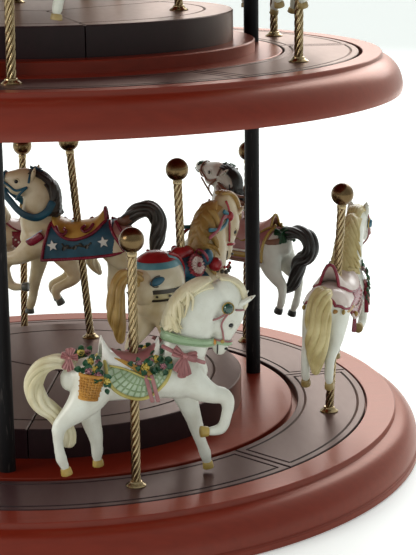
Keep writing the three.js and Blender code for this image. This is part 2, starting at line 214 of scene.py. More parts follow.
def painted(name, light, dark, wash_and_shade_colour="#4a4136", shine=(0.3, 0.42), wash_and_shade_share=0.55):
    """Hand-painted cast resin: uneven paint, a brown antique wash and painted shade in the hollows, and fine
    brush marks.
    """
    material, tree = new_material(name)
    place = add(tree, "ShaderNodeAttribute", attribute_name="place").outputs["Vector"]
    cloud = add(tree, "ShaderNodeTexNoise", {"Vector": place, "Scale": 95.0, "Detail": 4.0})
    paint = add(tree, "ShaderNodeMapRange", {0: cloud.outputs[0], 1: 0.35, 2: 0.65})
    tone = add(tree, "ShaderNodeMix", {0: paint.outputs[0], 6: colour(dark), 7: colour(light)},
               data_type="RGBA")
    hollow = add(tree, "ShaderNodeNewGeometry").outputs["Pointiness"]
    # Hollows are mixed towards the wash colour: partly the real antique wash, partly painted shade.
    depth = add(tree, "ShaderNodeMapRange", {0: hollow, 1: 0.5, 2: 0.43, 3: 0.0, 4: wash_and_shade_share})
    wash_and_shade_tone = add(tree, "ShaderNodeMix", {0: depth.outputs[0], 6: tone.outputs[2], 7: colour(wash_and_shade_colour)},
                data_type="RGBA")
    brush = add(tree, "ShaderNodeTexNoise", {"Vector": place, "Scale": 900.0, "Detail": 3.0})
    bump = add(tree, "ShaderNodeBump", {"Height": brush.outputs[0], "Strength": 0.12, "Distance": 0.0003})
    rough = add(tree, "ShaderNodeMapRange", {0: brush.outputs[0], 3: shine[0], 4: shine[1]})
    surface = add(tree, "ShaderNodeBsdfPrincipled", {
        "Base Color": wash_and_shade_tone.outputs[2], "Roughness": rough.outputs[0], "Normal": bump.outputs[0],
        "IOR": 1.5})
    finish_material(tree, surface)
    return material


def glass_gem(name, code):
    """Glass gem set in the bridle: deep colour, sharp reflections, slightly uneven foil behind it."""
    material, tree = new_material(name)
    place = add(tree, "ShaderNodeAttribute", attribute_name="place").outputs["Vector"]
    foil = add(tree, "ShaderNodeTexVoronoi", {"Vector": place, "Scale": 900.0})
    shade = add(tree, "ShaderNodeMix", {0: foil.outputs[0], 6: colour(code), 7: colour("#020605")},
                data_type="RGBA")
    surface = add(tree, "ShaderNodeBsdfPrincipled", {
        "Base Color": shade.outputs[2], "Roughness": 0.06, "IOR": 1.6, "Coat Weight": 0.6,
        "Coat Roughness": 0.03})
    finish_material(tree, surface)
    return material


FINISH = {
    "cream_coat": painted("cream_painted_coat", "#e3e4d9", "#d6d5c8", wash_and_shade_colour="#6f6d5c", shine=(0.24, 0.34),
                          wash_and_shade_share=0.5),
    "warm_coat": painted("warm_painted_coat", "#e0d2b2", "#ccb88e", wash_and_shade_colour="#6b573a", shine=(0.24, 0.36),
                         wash_and_shade_share=0.4),
    "cream_hair": painted("cream_painted_hair", "#e2dabd", "#c9be98", wash_and_shade_colour="#5f5439", wash_and_shade_share=0.7),
    "straw_hair": painted("straw_painted_hair", "#d3c48f", "#b3a06a", wash_and_shade_colour="#54431f"),
    "tan_hair": painted("tan_painted_hair", "#c2a05e", "#9c7a3e", wash_and_shade_colour="#4a3214"),
    "black_hair": painted("black_painted_hair", "#2c2b29", "#191817", wash_and_shade_colour="#0b0a09"),
    "grey_hair": painted("dark_grey_painted_hair", "#45403a", "#2e2a26", wash_and_shade_colour="#13110f"),
    "gold_hoof": painted("gold_painted_hoof", "#c2a65a", "#a08540", wash_and_shade_colour="#4c3a18"),
    "tan_hoof": painted("tan_painted_hoof", "#b39a66", "#8f7847", wash_and_shade_colour="#3c2f18"),
    "dark_hoof": painted("dark_painted_hoof", "#35332f", "#22201d", wash_and_shade_colour="#0f0e0c"),
    "grey_hoof": painted("grey_painted_hoof", "#5a5c54", "#43443d", wash_and_shade_colour="#1c1c19"),
    "ear_hollow": painted("shaded_ear_hollow", "#b08f78", "#96735d"),
    "antique_gold": painted("antique_gold_paint", "#b3954a", "#8a6f30", wash_and_shade_colour="#33240d", shine=(0.18, 0.3)),
    "white_gloss": painted("white_gloss_paint", "#efeee8", "#e2dfd4", shine=(0.14, 0.22), wash_and_shade_share=0.35),
    "mauve": painted("mauve_ribbon_paint", "#a8706f", "#8c5758", wash_and_shade_colour="#4a2a2c"),
    "mint": painted("mint_paint", "#a6bd98", "#8da582", wash_and_shade_colour="#556349"),
    "lattice": painted("pale_green_lattice_paint", "#bccab0", "#a3b696", wash_and_shade_colour="#5f6f4c", wash_and_shade_share=0.8),
    "lattice_rib": painted("lattice_rib_paint", "#91a57e", "#7a8f69", wash_and_shade_colour="#46553c"),
    "trim_yellow": painted("yellow_green_trim_paint", "#bfb063", "#a0924a", wash_and_shade_colour="#4c471c"),
    "mustard": painted("mustard_paint", "#b98a34", "#94681f", wash_and_shade_colour="#49300d"),
    "saddle_yellow": painted("yellow_saddle_paint", "#d6ac5a", "#b5883a", wash_and_shade_colour="#54350f"),
    "leaf": painted("dark_green_leaf_paint", "#1f5a35", "#123d24", wash_and_shade_colour="#06180e"),
    "rose_yellow": painted("yellow_rose_paint", "#d8c163", "#bda142", wash_and_shade_colour="#6e5718"),
    "rose_pink": painted("pink_rose_paint", "#b78089", "#96606a", wash_and_shade_colour="#512c35"),
    "wicker": painted("orange_wicker_paint", "#c9923c", "#a97326", wash_and_shade_colour="#4a2c0c", wash_and_shade_share=0.8),
    "orange_boss": painted("orange_boss_paint", "#cf8f3e", "#b27428"),
    "blue_cloth": painted("navy_teal_cloth_paint", "#295a70", "#193f50", wash_and_shade_colour="#0f1a1f", wash_and_shade_share=0.7),
    "teal_bright": painted("bright_teal_paint", "#2f7d8c", "#1f5f6e", wash_and_shade_colour="#0f2f38"),
    "teal": painted("teal_ribbon_paint", "#1a5a70", "#0f3d4e", wash_and_shade_colour="#081a22"),
    "pale_teal": painted("pale_teal_paint", "#6fa3ad", "#4f848f", wash_and_shade_colour="#26454d"),
    "pale_blue": painted("pale_blue_line_paint", "#c9d4e4", "#aebfd2"),
    "crimson": painted("crimson_paint", "#8f2238", "#6d1428", wash_and_shade_colour="#2f0812", shine=(0.2, 0.32)),
    "pink_cloth": painted("dusty_pink_cloth_paint", "#c79a92", "#ab7a74", wash_and_shade_colour="#5b3431"),
    "pink_white": painted("rosy_white_paint", "#ddd0c8", "#c9b4ab", wash_and_shade_colour="#6e4a48", shine=(0.2, 0.3)),
    "red_paint": painted("red_paint", "#a8262a", "#861a1f", wash_and_shade_colour="#3a0a0e", shine=(0.2, 0.3)),
    "red_pink": painted("red_pink_pleat_paint", "#a3424a", "#842f38", wash_and_shade_colour="#3f1218"),
    "cream_white": painted("cream_white_drum_paint", "#e0d8c0", "#c9bea0", wash_and_shade_colour="#5c5038", shine=(0.2, 0.3)),
    "cream_cloth": painted("cream_cloth_paint", "#d6ca9f", "#b8a878", wash_and_shade_colour="#584c2c"),
    "black_cloth": painted("brown_black_paint", "#3a3428", "#262118", wash_and_shade_colour="#0e0c08"),
    "leather": painted("brown_leather_paint", "#8a5c44", "#6b432f", wash_and_shade_colour="#2d1a10"),
    "blue_gem": glass_gem("blue_glass_gem", "#1b6f8c"),
    "green_gem": glass_gem("green_glass_gem", "#0d5a47"),
    "eye": painted("black_painted_eye", "#161210", "#0c0a09", shine=(0.08, 0.14), wash_and_shade_share=0.0),
}


def linked(name, data):
    """New object with this data, in the scene."""
    made = bpy.data.objects.new(name, data)
    bpy.context.scene.collection.objects.link(made)
    return made


def new_mesh(name, points, faces, materials):
    """Smooth mesh from points in millimetres."""
    mesh = bpy.data.meshes.new(name)
    mesh.from_pydata((np.asarray(points) * MM).tolist(), [], faces)
    for material in materials:
        mesh.materials.append(material)
    mesh.polygons.foreach_set("use_smooth", [True] * len(faces))
    mesh.update()
    return mesh


def shape_of(mesh):
    """Points in millimetres and faces of a mesh."""
    return np.array([v.co for v in mesh.vertices]) / MM, [tuple(p.vertices) for p in mesh.polygons]


def evaluated(piece):
    """Mesh of an object after its modifiers; the object and its first mesh go."""
    bpy.context.view_layer.update()
    graph = bpy.context.evaluated_depsgraph_get()
    made = bpy.data.meshes.new_from_object(piece.evaluated_get(graph), depsgraph=graph)
    source = piece.data
    bpy.data.objects.remove(piece)
    bpy.data.meshes.remove(source)
    return made


def hand_over(piece, slot, *nodes):
    """Gives a finished piece to the frame in place of its nodes."""
    if nodes:
        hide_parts(*nodes)
    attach(piece, "root")


def arc(centre, radius, start, end, count):
    """Points [radius, height] along an arc, angles in degrees from +radius towards +height."""
    angles = np.radians(np.linspace(start, end, count))
    return [(centre[0] + radius[0] * math.cos(a), centre[1] + radius[1] * math.sin(a)) for a in angles]


def turned(name, profile, material, steps=TURN_STEPS):
    """Solid of revolution about +Z; the profile runs outwards below and back inwards above."""
    rings = [(r, z) for r, z in profile if r > 0]
    turn = np.linspace(0, 2 * math.pi, steps, endpoint=False)
    points = [(r * math.cos(t), r * math.sin(t), z) for r, z in rings for t in turn]
    faces = []
    for i in range(len(rings) - 1):
        for j in range(steps):
            k = (j + 1) % steps
            faces.append((i * steps + j, i * steps + k, (i + 1) * steps + k, (i + 1) * steps + j))
    low = len(points)
    points += [(0, 0, profile[0][1]), (0, 0, profile[-1][1])]
    last = (len(rings) - 1) * steps
    for j in range(steps):
        k = (j + 1) % steps
        faces.append((low, k, j))
        faces.append((low + 1, last + j, last + k))
    made = linked(name, new_mesh(name, points, faces, [material]))
    mark_creases(made, 28)
    return made


def mark_creases(piece, degrees):
    """Edges sharper than this angle stay crisp."""
    bpy.context.view_layer.update()
    piece.data.set_sharp_from_angle(angle=math.radians(degrees))


def recess(tier, top):
    """Profile of the recess that holds a tier's ring, from its outer edge to its inner one."""
    inner, outer = TIERS[tier]["recess_inner"], TIERS[tier]["recess_outer"]
    floor = top - RECESS_DEPTH
    return [(outer + 0.3, top), (outer, top - 0.3), (outer, floor),
            (inner, floor), (inner, top - 0.4), (inner - 0.4, top)]


def base_board():
    """Base board: flat rim, a fine quirk, a flared mould, a bead line and an upright band."""
    rim = BASE_RADIUS - 13.9
    profile = [(0, 0), (BASE_RADIUS - 1.2, 0), (BASE_RADIUS, 0.8), (BASE_RADIUS, 3.4)]
    profile += arc((BASE_RADIUS - 0.9, 3.4), (0.9, 0.9), 0, 75, 4)
    profile += [(BASE_RADIUS - 1.1, 4.9)]
    profile += arc((BASE_RADIUS - 13.2, 6.2), (12.3, 15.4), -4, 80, 14)
    profile += [(rim + 0.9, 21.9), (rim + 0.2, 22.2), (rim, 22.6), (rim, BASE_TOP - 0.5),
                (rim - 0.5, BASE_TOP)]
    profile += [*recess("lower", BASE_TOP), (0, BASE_TOP)]
    hand_over(turned("base_board_turned", profile, MAHOGANY), "mahogany", "base_board")


def board_edge(low):
    """Edge mould of the upper boards: a full round from a sharp bottom corner to a quirk and a flat rim."""
    bulge = BOARD_BULGE
    edge = [(bulge - 0.5, low)]
    edge += arc((bulge - 13.5, low + 2.6), (13.5, 15.6), -4, 72, 18)
    edge += [(bulge - 10.4, low + 17.9), (bulge - 11.0, low + 18.2), (bulge - 11.5, low + 18.8)]
    edge += [(bulge - 11.6, low + BOARD_THICK - 0.5), (bulge - 12, low + BOARD_THICK)]
    return edge


def upper_board():
    """Upper board, with its recess and the raised step in its middle."""
    profile = [(0, UPPER_LOW), *board_edge(UPPER_LOW), *recess("upper", UPPER_TOP)]
    profile += [(STEP_RADIUS, UPPER_TOP), (STEP_RADIUS, STEP_TOP - 0.6), (STEP_RADIUS - 0.6, STEP_TOP)]
    profile += [(0, STEP_TOP)]
    hand_over(turned("upper_board_turned", profile, MAHOGANY), "mahogany", "upper_board")


def top_board():
    """Plain top board with the same edge."""
    profile = [(0, TOP_LOW), *board_edge(TOP_LOW), (0, CANOPY_TOP)]
    hand_over(turned("top_board_turned", profile, MAHOGANY), "mahogany", "top_board")


def heading_of(node):
    """Heading of a node's middle, in radians anticlockwise from the front."""
    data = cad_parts[node].data
    middle = sum((v.co for v in data.vertices), Vector()) / len(data.vertices)
    return math.atan2(middle.x, -middle.y)


def posts():
    """Slim posts from the base board to the top board."""
    for i in (1, 2, 3):
        low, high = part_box(f"post_{i}")
        x, y = (low.x + high.x) / 2 / MM, (low.y + high.y) / 2 / MM
        rows = [(POST_RADIUS, z) for z in np.linspace(low.z / MM, high.z / MM, 40)]
        made = turned(f"post_{i}_turned", [(0, low.z / MM), *rows, (0, high.z / MM)], BLACK_POST, 32)
        made.data.transform(Matrix.Translation((x * MM, y * MM, 0)))
        hand_over(made, "post_wood", f"post_{i}")


GROOVE_INSET = 3.6
GROOVE_WIDTH = 1.5
GROOVE_DEPTH = 0.9
EDGE_ROUND = 0.4
BORDER = [0, EDGE_ROUND, GROOVE_INSET, GROOVE_INSET + GROOVE_WIDTH / 2, GROOVE_INSET + GROOVE_WIDTH]
BORDER_FALL = [EDGE_ROUND, 0, 0, GROOVE_DEPTH, 0]


def ring_sector(name, inner, outer, heading, span, low, high):
    """Slab of the ring with a grooved border, its joint sides kept parallel to the joint lines."""
    arc_steps = 26
    radii = [inner + b for b in BORDER] + [(inner + outer) / 2] + [outer - b for b in reversed(BORDER)]
    radial_level = list(range(5)) + [5] + list(reversed(range(5)))
    side_level = list(range(5)) + [5] * arc_steps + list(reversed(range(5)))
    half = span / 2
    points = []
    for radius, level in zip(radii, radial_level):
        joints = [math.asin(min(b / radius, 1.0)) for b in BORDER]
        middle = np.linspace(joints[-1], 2 * half - joints[-1], arc_steps + 2)[1:-1]
        turns = [*joints, *middle, *[2 * half - j for j in reversed(joints)]]
        for turn, side in zip(turns, side_level):
            fall = BORDER_FALL[min(level, side)] if min(level, side) < 5 else 0
            angle = heading - half + turn
            points.append((radius * math.sin(angle), -radius * math.cos(angle), high - fall))
    return slab(name, points, len(radii), len(side_level), low)


def rim_of(rows, columns):
    """Points round the edge of a grid, in order."""
    rim = list(range(columns)) + [i * columns + columns - 1 for i in range(1, rows)]
    rim += [(rows - 1) * columns + j for j in range(columns - 2, -1, -1)]
    return rim + [i * columns for i in range(rows - 2, 0, -1)]


def slab(name, points, rows, columns, low):
    """Closed slab whose top is a grid of points and whose underside is flat."""
    faces = []
    for i in range(rows - 1):
        for j in range(columns - 1):
            a = i * columns + j
            faces.append((a, a + columns, a + columns + 1, a + 1))
    rim = rim_of(rows, columns)
    first = len(points)
    points += [(points[i][0], points[i][1], low) for i in rim]
    count = len(rim)
    for k in range(count):
        n = (k + 1) % count
        faces.append((rim[k], rim[n], first + n, first + k))
    faces.append(tuple(first + k for k in range(count)))
    made = linked(name, new_mesh(name, points, faces, [DARK_WOOD]))
    mark_creases(made, 25)
    return made


def rings_and_discs():
    """Inlaid ring segments and raised disc sectors of both tiers."""
    for tier, size in TIERS.items():
        for i in range(1, 7):
            node = f"{tier}_ring_segment_{i}"
            low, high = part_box(node)
            made = ring_sector(f"{node}_grooved", size["ring_inner"], size["ring_outer"], heading_of(node),
                               math.radians(60) - 0.8 / size["ring_inner"], low.z / MM, high.z / MM)
            hand_over(made, "dark_wood", node)
        for i in range(1, 4):
            node = f"{tier}_disc_sector_{i}"
            low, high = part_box(node)
            made = pie_sector(f"{node}_grooved", size["disc"], heading_of(node), low.z / MM, high.z / MM)
            hand_over(made, "dark_wood", node)


PIE_GROOVE = 15.0


def pie_sector(name, outer, heading, low, high):
    """Third of the raised disc, with a groove round it and rounded arrises."""
    border = [0, 0.5, PIE_GROOVE, PIE_GROOVE + 0.8, PIE_GROOVE + 1.6]
    fall = [0.5, 0, 0, 1.0, 0]
    radii = [1.2, 25, 50, 75] + [outer - b for b in reversed(border)]
    falls = [0, 0, 0, 0] + list(reversed(fall))
    half = math.radians(60)
    steps = 44
    points = []
    for radius, drop in zip(radii, falls):
        joint, edge = [math.asin(min(b / radius, 1.0)) for b in (0.35, 1.0)]
        turns = [joint, *np.linspace(edge, 2 * half - edge, steps), 2 * half - joint]
        for j, turn in enumerate(turns):
            angle = heading - half + turn
            side_fall = 0.6 if j in (0, len(turns) - 1) else 0
            points.append((radius * math.sin(angle), -radius * math.cos(angle), high - max(drop, side_fall)))
    return slab(name, points, len(radii), steps + 2, low)


def rod_ends(node):
    """Foot and ball centre of a rod, in millimetres, from its node's lowest and widest points."""
    points, _ = shape_of(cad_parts[node].data)
    bottom, top = points[:, 2].min(), points[:, 2].max()
    foot = points[points[:, 2] < bottom + 0.2].mean(0)
    ball = points[points[:, 2] > top - 10.5].mean(0)
    foot[2] = bottom
    return Vector(foot), Vector(ball)


# Horse shapes, in each horse's own frame in millimetres: x forward, y left, z up, the rod on the z axis

def spline(rows, steps):
    """Smooth rows through the given rows, with the same columns."""
    rows = np.asarray(rows, float)
    padded = np.vstack([2 * rows[0] - rows[1], rows, 2 * rows[-1] - rows[-2]])
    made = []
    for i in range(len(rows) - 1):
        a, b, c, d = padded[i:i + 4]
        for t in np.linspace(0, 1, steps, endpoint=False):
            made.append(0.5 * (2 * b + (c - a) * t + (2 * a - 5 * b + 4 * c - d) * t * t
                               + (3 * b - a - 3 * c + d) * t ** 3))
    made.append(rows[-1])
    return np.array(made)


def turned_out(points, faces):
    """Turns the faces of a closed shape outwards."""
    volume = 0.0
    for face in faces:
        for i in range(1, len(face) - 1):
            volume += float(np.dot(points[face[0]], np.cross(points[face[i]], points[face[i + 1]])))
    if volume < 0:
        faces = [tuple(reversed(face)) for face in faces]
    return points, faces


def lengthwise(centre, across):
    """Directions along, across and above a line of points."""
    along = np.gradient(centre, axis=0)
    along /= np.linalg.norm(along, axis=1)[:, None] + 1e-9
    across = np.asarray(across, float)
    if across.ndim == 1:
        across = np.tile(across, (len(centre), 1))
    side = across - along * np.sum(across * along, axis=1)[:, None]
    side /= np.linalg.norm(side, axis=1)[:, None] + 1e-9
    return along, side, np.cross(along, side)


def band_faces(rings, sides):
    """Faces between closed rings of points."""
    faces = []
    for i in range(rings - 1):
        for j in range(sides):
            k = (j + 1) % sides
            faces.append((i * sides + j, (i + 1) * sides + j, (i + 1) * sides + k, i * sides + k))
    return faces


def tube(rows, sides=14, steps=4, across=(0, 1, 0), domed=True):
    """Closed tube along rows [x, y, z, half width, half height]; its width runs along across."""
    path = spline(rows, steps) if steps > 1 else np.asarray(rows, float)
    centre, half = path[:, :3], np.maximum(path[:, 3:5], 0.05)
    along, side, up = lengthwise(centre, across)
    rings = list(zip(centre, side, up, half))
    if domed:
        bulge = [(0.45, 0.85), (0.8, 0.5)]
        tail, tip = half[0].min(), half[-1].min()
        start = [(centre[0] - along[0] * tail * b, side[0], up[0], half[0] * k) for b, k in reversed(bulge)]
        rings = start + rings
        rings += [(centre[-1] + along[-1] * tip * b, side[-1], up[-1], half[-1] * k) for b, k in bulge]
    turn = np.linspace(0, 2 * math.pi, sides, endpoint=False)
    points = [c + s * (h[0] * math.cos(t)) + u * (h[1] * math.sin(t)) for c, s, u, h in rings for t in turn]
    faces = band_faces(len(rings), sides)
    faces.append(tuple(range(sides)))
    faces.append(tuple((len(rings) - 1) * sides + j for j in reversed(range(sides))))
    return turned_out(np.array(points), faces)


def cord(points, radius, sides=8, steps=1, across=(0, 1, 0), domed=True):
    """Round tube along points."""
    return tube([(*p, radius, radius) for p in points], sides, steps, across, domed)


def lump(centre, radii, turn=(0, 0, 0), sides=12):
    """Ellipsoid."""
    rows = sides // 2
    points = []
    for i in range(1, rows):
        a = math.pi * i / rows
        for j in range(sides):
            b = 2 * math.pi * j / sides
            points.append((math.sin(a) * math.cos(b), math.sin(a) * math.sin(b), math.cos(a)))
    points += [(0, 0, 1), (0, 0, -1)]
    faces = band_faces(rows - 1, sides)
    top, low = len(points) - 2, len(points) - 1
    for j in range(sides):
        k = (j + 1) % sides
        faces.append((top, j, k))
        faces.append((low, (rows - 2) * sides + k, (rows - 2) * sides + j))
    spin = np.array(Euler([math.radians(t) for t in turn]).to_matrix())
    points = (np.array(points) * np.asarray(radii)) @ spin.T + np.asarray(centre, float)
    return turned_out(points, faces)


def shell(outer, inner):
    """Closed plate between two grids of points of the same size."""
    rows, columns = outer.shape[:2]
    points = np.vstack([outer.reshape(-1, 3), inner.reshape(-1, 3)])
    far = rows * columns
    faces = []
    for i in range(rows - 1):
        for j in range(columns - 1):
            a = i * columns + j
            faces.append((a, a + 1, a + columns + 1, a + columns))
            faces.append((far + a, far + a + columns, far + a + columns + 1, far + a + 1))
    rim = rim_of(rows, columns)
    for a, b in zip(rim, rim[1:] + rim[:1]):
        faces.append((a, far + a, far + b, b))
    return turned_out(points, faces)


class Model:
    """Parts of one horse, each with its finish."""

    def __init__(self):
        self.parts = []
        self.finishes = []

    def add(self, finish, *shapes):
        if finish not in self.finishes:
            self.finishes.append(finish)
        self.parts += [(finish, shape) for shape in shapes]

    def mesh(self, name):
        """Mesh with one slot per finish and each point's place in the horse's frame as an attribute."""
        points, faces, slots, count = [], [], [], 0
        for finish, (part, sides) in self.parts:
            points.append(part)
            faces += [tuple(i + count for i in face) for face in sides]
            slots += [self.finishes.index(finish)] * len(sides)
            count += len(part)
        points = np.vstack(points)
        mesh = new_mesh(name, points, faces, [FINISH[finish] for finish in self.finishes])
        mesh.polygons.foreach_set("material_index", np.asarray(slots, dtype=np.int32))
        place = mesh.attributes.new("place", "FLOAT_VECTOR", "POINT")
        place.data.foreach_set("vector", (points * MM).ravel())
        mesh.update()
        mesh.set_sharp_from_angle(angle=math.radians(50))
        return mesh


def fused(shapes, voxel):
    """One smooth skin round overlapping shapes."""
    points, faces, count = [], [], 0
    for part, sides in shapes:
        points.append(part)
        faces += [tuple(i + count for i in face) for face in sides]
        count += len(part)
    work = linked("work", new_mesh("work", np.vstack(points), faces, []))
    remesh = work.modifiers.new("remesh", "REMESH")
    remesh.mode = "VOXEL"
    remesh.voxel_size = voxel * MM
    soften = work.modifiers.new("soften", "SMOOTH")
    soften.factor = 0.5
    soften.iterations = 4
    return shape_of(evaluated(work))


TRUNK = [
    (-33, 0, 57, 5, 6), (-29.5, 0, 57, 9.5, 9.5), (-23, 0, 56.5, 12, 11.2), (-12, 0, 56.5, 12, 10.8),
    (2, 0, 57, 12, 10.8), (14, 0, 57.5, 11.8, 11.5), (24, 0, 58.5, 11, 13.2), (30.5, 0, 60, 8.8, 10.8),
    (33.5, 0, 61, 4.8, 6.8)]

TRUNK_HEIGHT = 57

# Neck rows and the place and nose direction of the head, by carriage of the head
NECKS = {
    "bowed": [(20, 0, 60, 9.5, 12.4), (23.4, 0, 68, 8.7, 12.2), (26.4, 0, 76, 7.9, 12),
              (28, 0, 83, 7.5, 12.3), (30.2, 0, 89, 7.2, 12.4), (34, 0, 94, 6.8, 10.8),
              (39.5, 0, 96.8, 6.2, 8.4)],
    "nodding": [(20, 0, 60, 9.5, 12.4), (23.4, 0, 68, 8.7, 12.2), (26.2, 0, 76, 7.9, 11.4),
                (27, 0, 82.5, 7.4, 10.8), (28.4, 0, 87.5, 7, 10), (31.2, 0, 91.5, 6.6, 8.8),
                (35.8, 0, 94.4, 6, 7.2)],
    "level": [(20, 0, 60, 9.5, 13), (23.5, 0, 67.5, 8.8, 13), (26.5, 0, 74.5, 8, 12),
              (29.5, 0, 80.5, 7.2, 11), (33, 0, 86, 6.6, 9.6), (37.5, 0, 89.5, 6, 7.6)],
    "proud": [(21, 0, 60, 9.5, 13), (24.5, 0, 68, 8.8, 12.5), (24, 0, 75, 8, 11.4),
              (22.8, 0, 81.5, 7.3, 10.6), (22, 0, 87.5, 6.8, 9.8), (23, 0, 92.5, 6.2, 7.5)],
    "raised": [(18, 0, 60, 9.5, 12.5), (20.5, 0, 68, 8.5, 12), (20.4, 0, 75, 7.4, 10.8),
               (19.8, 0, 81.5, 6.6, 9.8), (18.8, 0, 87.5, 6.2, 8.6), (18, 0, 92.5, 5.8, 6.8)]}
HEAD_PLACES = {"bowed": ((45.4, 96.9), (-0.13, -0.991)), "nodding": ((41, 97), (-0.13, -0.991)),
               "level": ((40.5, 90.5), (0.88, -0.475)),
               "proud": ((22.5, 91.3), (0.98, 0.2)), "raised": ((17, 92), (0.975, 0.22))}

# Tips of the ears and centres of the gems on each head: distance along the nose and towards the brow
EAR_TIPS = {"bowed": (-3.5, 12.8), "nodding": (-1.5, 11), "level": (-1.6, 12.4), "proud": (2.0, 12.8),
            "raised": (-2.0, 9.5)}
GEM_PLACES = {"bowed": (4.2, -0.8), "nodding": (4.2, -0.8), "level": (5.5, 2.0), "proud": (5, 1),
              "raised": (5, 1)}

# Head rows: distance along the nose, distance towards the brow, half width, half depth
HEAD = [(-5, -3, 5.3, 6.3), (-0.9, -0.7, 6, 8.2), (5.7, 1.6, 6.5, 9), (10.8, 1.8, 6.2, 8.8),
        (15.9, 1.7, 5.2, 6.9), (21, 1.6, 4.1, 5), (25.1, 1.7, 3.9, 4.4), (26.8, 1.9, 3.4, 3.5)]

# Leg rows with y as the distance outwards, then the top and the sole of the hoof
LEGS = {
    "fore_raised": ([(26, -1, 57, 6, 9), (33, 0, 52, 5.2, 6.8), (39.5, 0, 49, 4.2, 5),
                     (44.4, 0, 48, 3.8, 4.4), (47.2, 0, 45.4, 3.4, 3.9), (48, 0, 41.5, 2.9, 3.2),
                     (47.4, 0, 37, 2.7, 2.9), (46.6, 0, 33, 2.7, 2.9), (44.8, 0, 30.4, 2.7, 2.9),
                     (41.4, 0, 29.6, 2.4, 2.6)],
                    (41, 29.6), (34.4, 29.4)),
    "fore_folded": ([(26, -1, 57, 6, 9), (32, 0, 52, 5.2, 6.8), (37.5, 0, 48.6, 4.2, 5),
                     (41.5, 0, 46.6, 3.7, 4.2), (43, 0, 43, 3.2, 3.6), (42.4, 0, 38.5, 2.8, 3),
                     (40.6, 0, 34.4, 2.6, 2.8), (37.6, 0, 31.6, 2.5, 2.7)], (35.6, 31), (29.8, 30.6)),
    "fore_straight": ([(25, -1, 56, 6, 9.5), (28.5, 0, 47, 5, 6.8), (30.4, 0, 40, 4.3, 5.2),
                       (33.4, 0, 31.5, 3.7, 4.1), (34.6, 0, 28, 3.6, 4), (35.3, 0, 24, 2.9, 3.2),
                       (37.2, 0, 17.5, 2.7, 3), (38.8, 0, 13.8, 2.8, 3), (39.3, 0, 12, 2.5, 2.7)],
                      (39.2, 13), (40, 8.3)),
    "fore_long": ([(25, -1, 56, 6, 9.5), (29, 0, 46.5, 5, 7), (32, 0, 39, 4.3, 5.4),
                   (35.2, 0, 31.5, 3.7, 4.2), (36.5, 0, 28, 3.6, 4), (37.8, 0, 24, 3, 3.4),
                   (40.4, 0, 18, 2.7, 3), (42.4, 0, 13.4, 2.8, 3.2), (43.4, 0, 10.4, 2.5, 2.7)],
                  (43.6, 10.6), (44.9, 5.2)),
    "fore_down": ([(25, -1, 56, 6, 9.5), (25.8, 0, 47, 5, 6.8), (25.6, 0, 40, 4.3, 5.2),
                   (25.4, 0, 33.5, 3.5, 3.9), (24.6, 0, 29.5, 3.5, 3.8), (23.4, 0, 25, 2.8, 3),
                   (22.2, 0, 20.5, 2.6, 2.8), (21.4, 0, 17, 2.6, 2.8)], (21.4, 17), (20.9, 12.4)),
    "hind_back": ([(-21, -1, 57, 7.5, 11), (-24.5, -0.5, 50, 6.9, 9.6), (-30, 0, 43.5, 5.4, 7),
                   (-35.6, 0, 38.2, 3.7, 4.7), (-38.4, 0, 34.4, 3.1, 3.8), (-38.6, 0, 28.5, 2.4, 2.7),
                   (-37.8, 0, 23.5, 2.3, 2.6), (-36.5, 0, 18.6, 2.6, 2.9), (-35.4, 0, 16.4, 2.3, 2.5)],
                  (-34.9, 16), (-33.2, 10.4)),
    "hind_under": ([(-20, -1, 56, 7, 10.5), (-20.4, -0.5, 47, 6.3, 8.8), (-20.2, 0, 39.5, 4.9, 6.4),
                    (-18.4, 0, 32, 3.9, 5), (-16.2, 0, 25.5, 3.4, 4), (-15.2, 0, 20.5, 2.8, 3.2),
                    (-14.8, 0, 16.8, 2.8, 3.1), (-14.7, 0, 14.4, 2.5, 2.7)], (-14.6, 14.4), (-13.7, 9.2)),
    "hind_reach": ([(-20, -1, 56, 7, 10.5), (-18.8, -0.5, 47, 6.3, 8.8), (-17.4, 0, 39, 4.8, 6.2),
                    (-14.6, 0, 32, 3.6, 4.4), (-12.6, 0, 27.5, 3.2, 3.7), (-12.4, 0, 22, 2.7, 2.8),
                    (-12.2, 0, 17.5, 2.6, 2.7), (-11.2, 0, 15, 2.5, 2.6)], (-11.2, 15), (-9.6, 10.6)),
    "hind_tucked": ([(-21, -1, 57, 7.5, 11), (-25.5, -0.5, 47, 6.8, 9.6), (-31, 0, 38, 5.2, 6.8),
                     (-34.4, 0, 31, 4.2, 5), (-31, 0, 26.6, 3.5, 4), (-25, 0, 23.8, 3.1, 3.4),
                     (-20.4, 0, 21.4, 3, 3.2), (-20.8, 0, 17.6, 2.8, 2.9)], (-21.4, 17), (-24.4, 10.8)),
    "hind_folded": ([(-21, -1, 57, 7.5, 11), (-24.5, -0.5, 49, 6.6, 9.4), (-28, 0, 41.5, 5, 6.8),
                     (-32, 0, 36.4, 3.8, 4.8), (-35.6, 0, 33.4, 3.2, 3.9), (-36.6, 0, 29, 2.8, 3.1),
                     (-36.2, 0, 24, 2.6, 2.8), (-35.4, 0, 20.5, 2.6, 2.7)], (-35.2, 20.2), (-33, 14.4))}
LEG_OFFSET = 6.6
GEM_RADIUS = 2.8

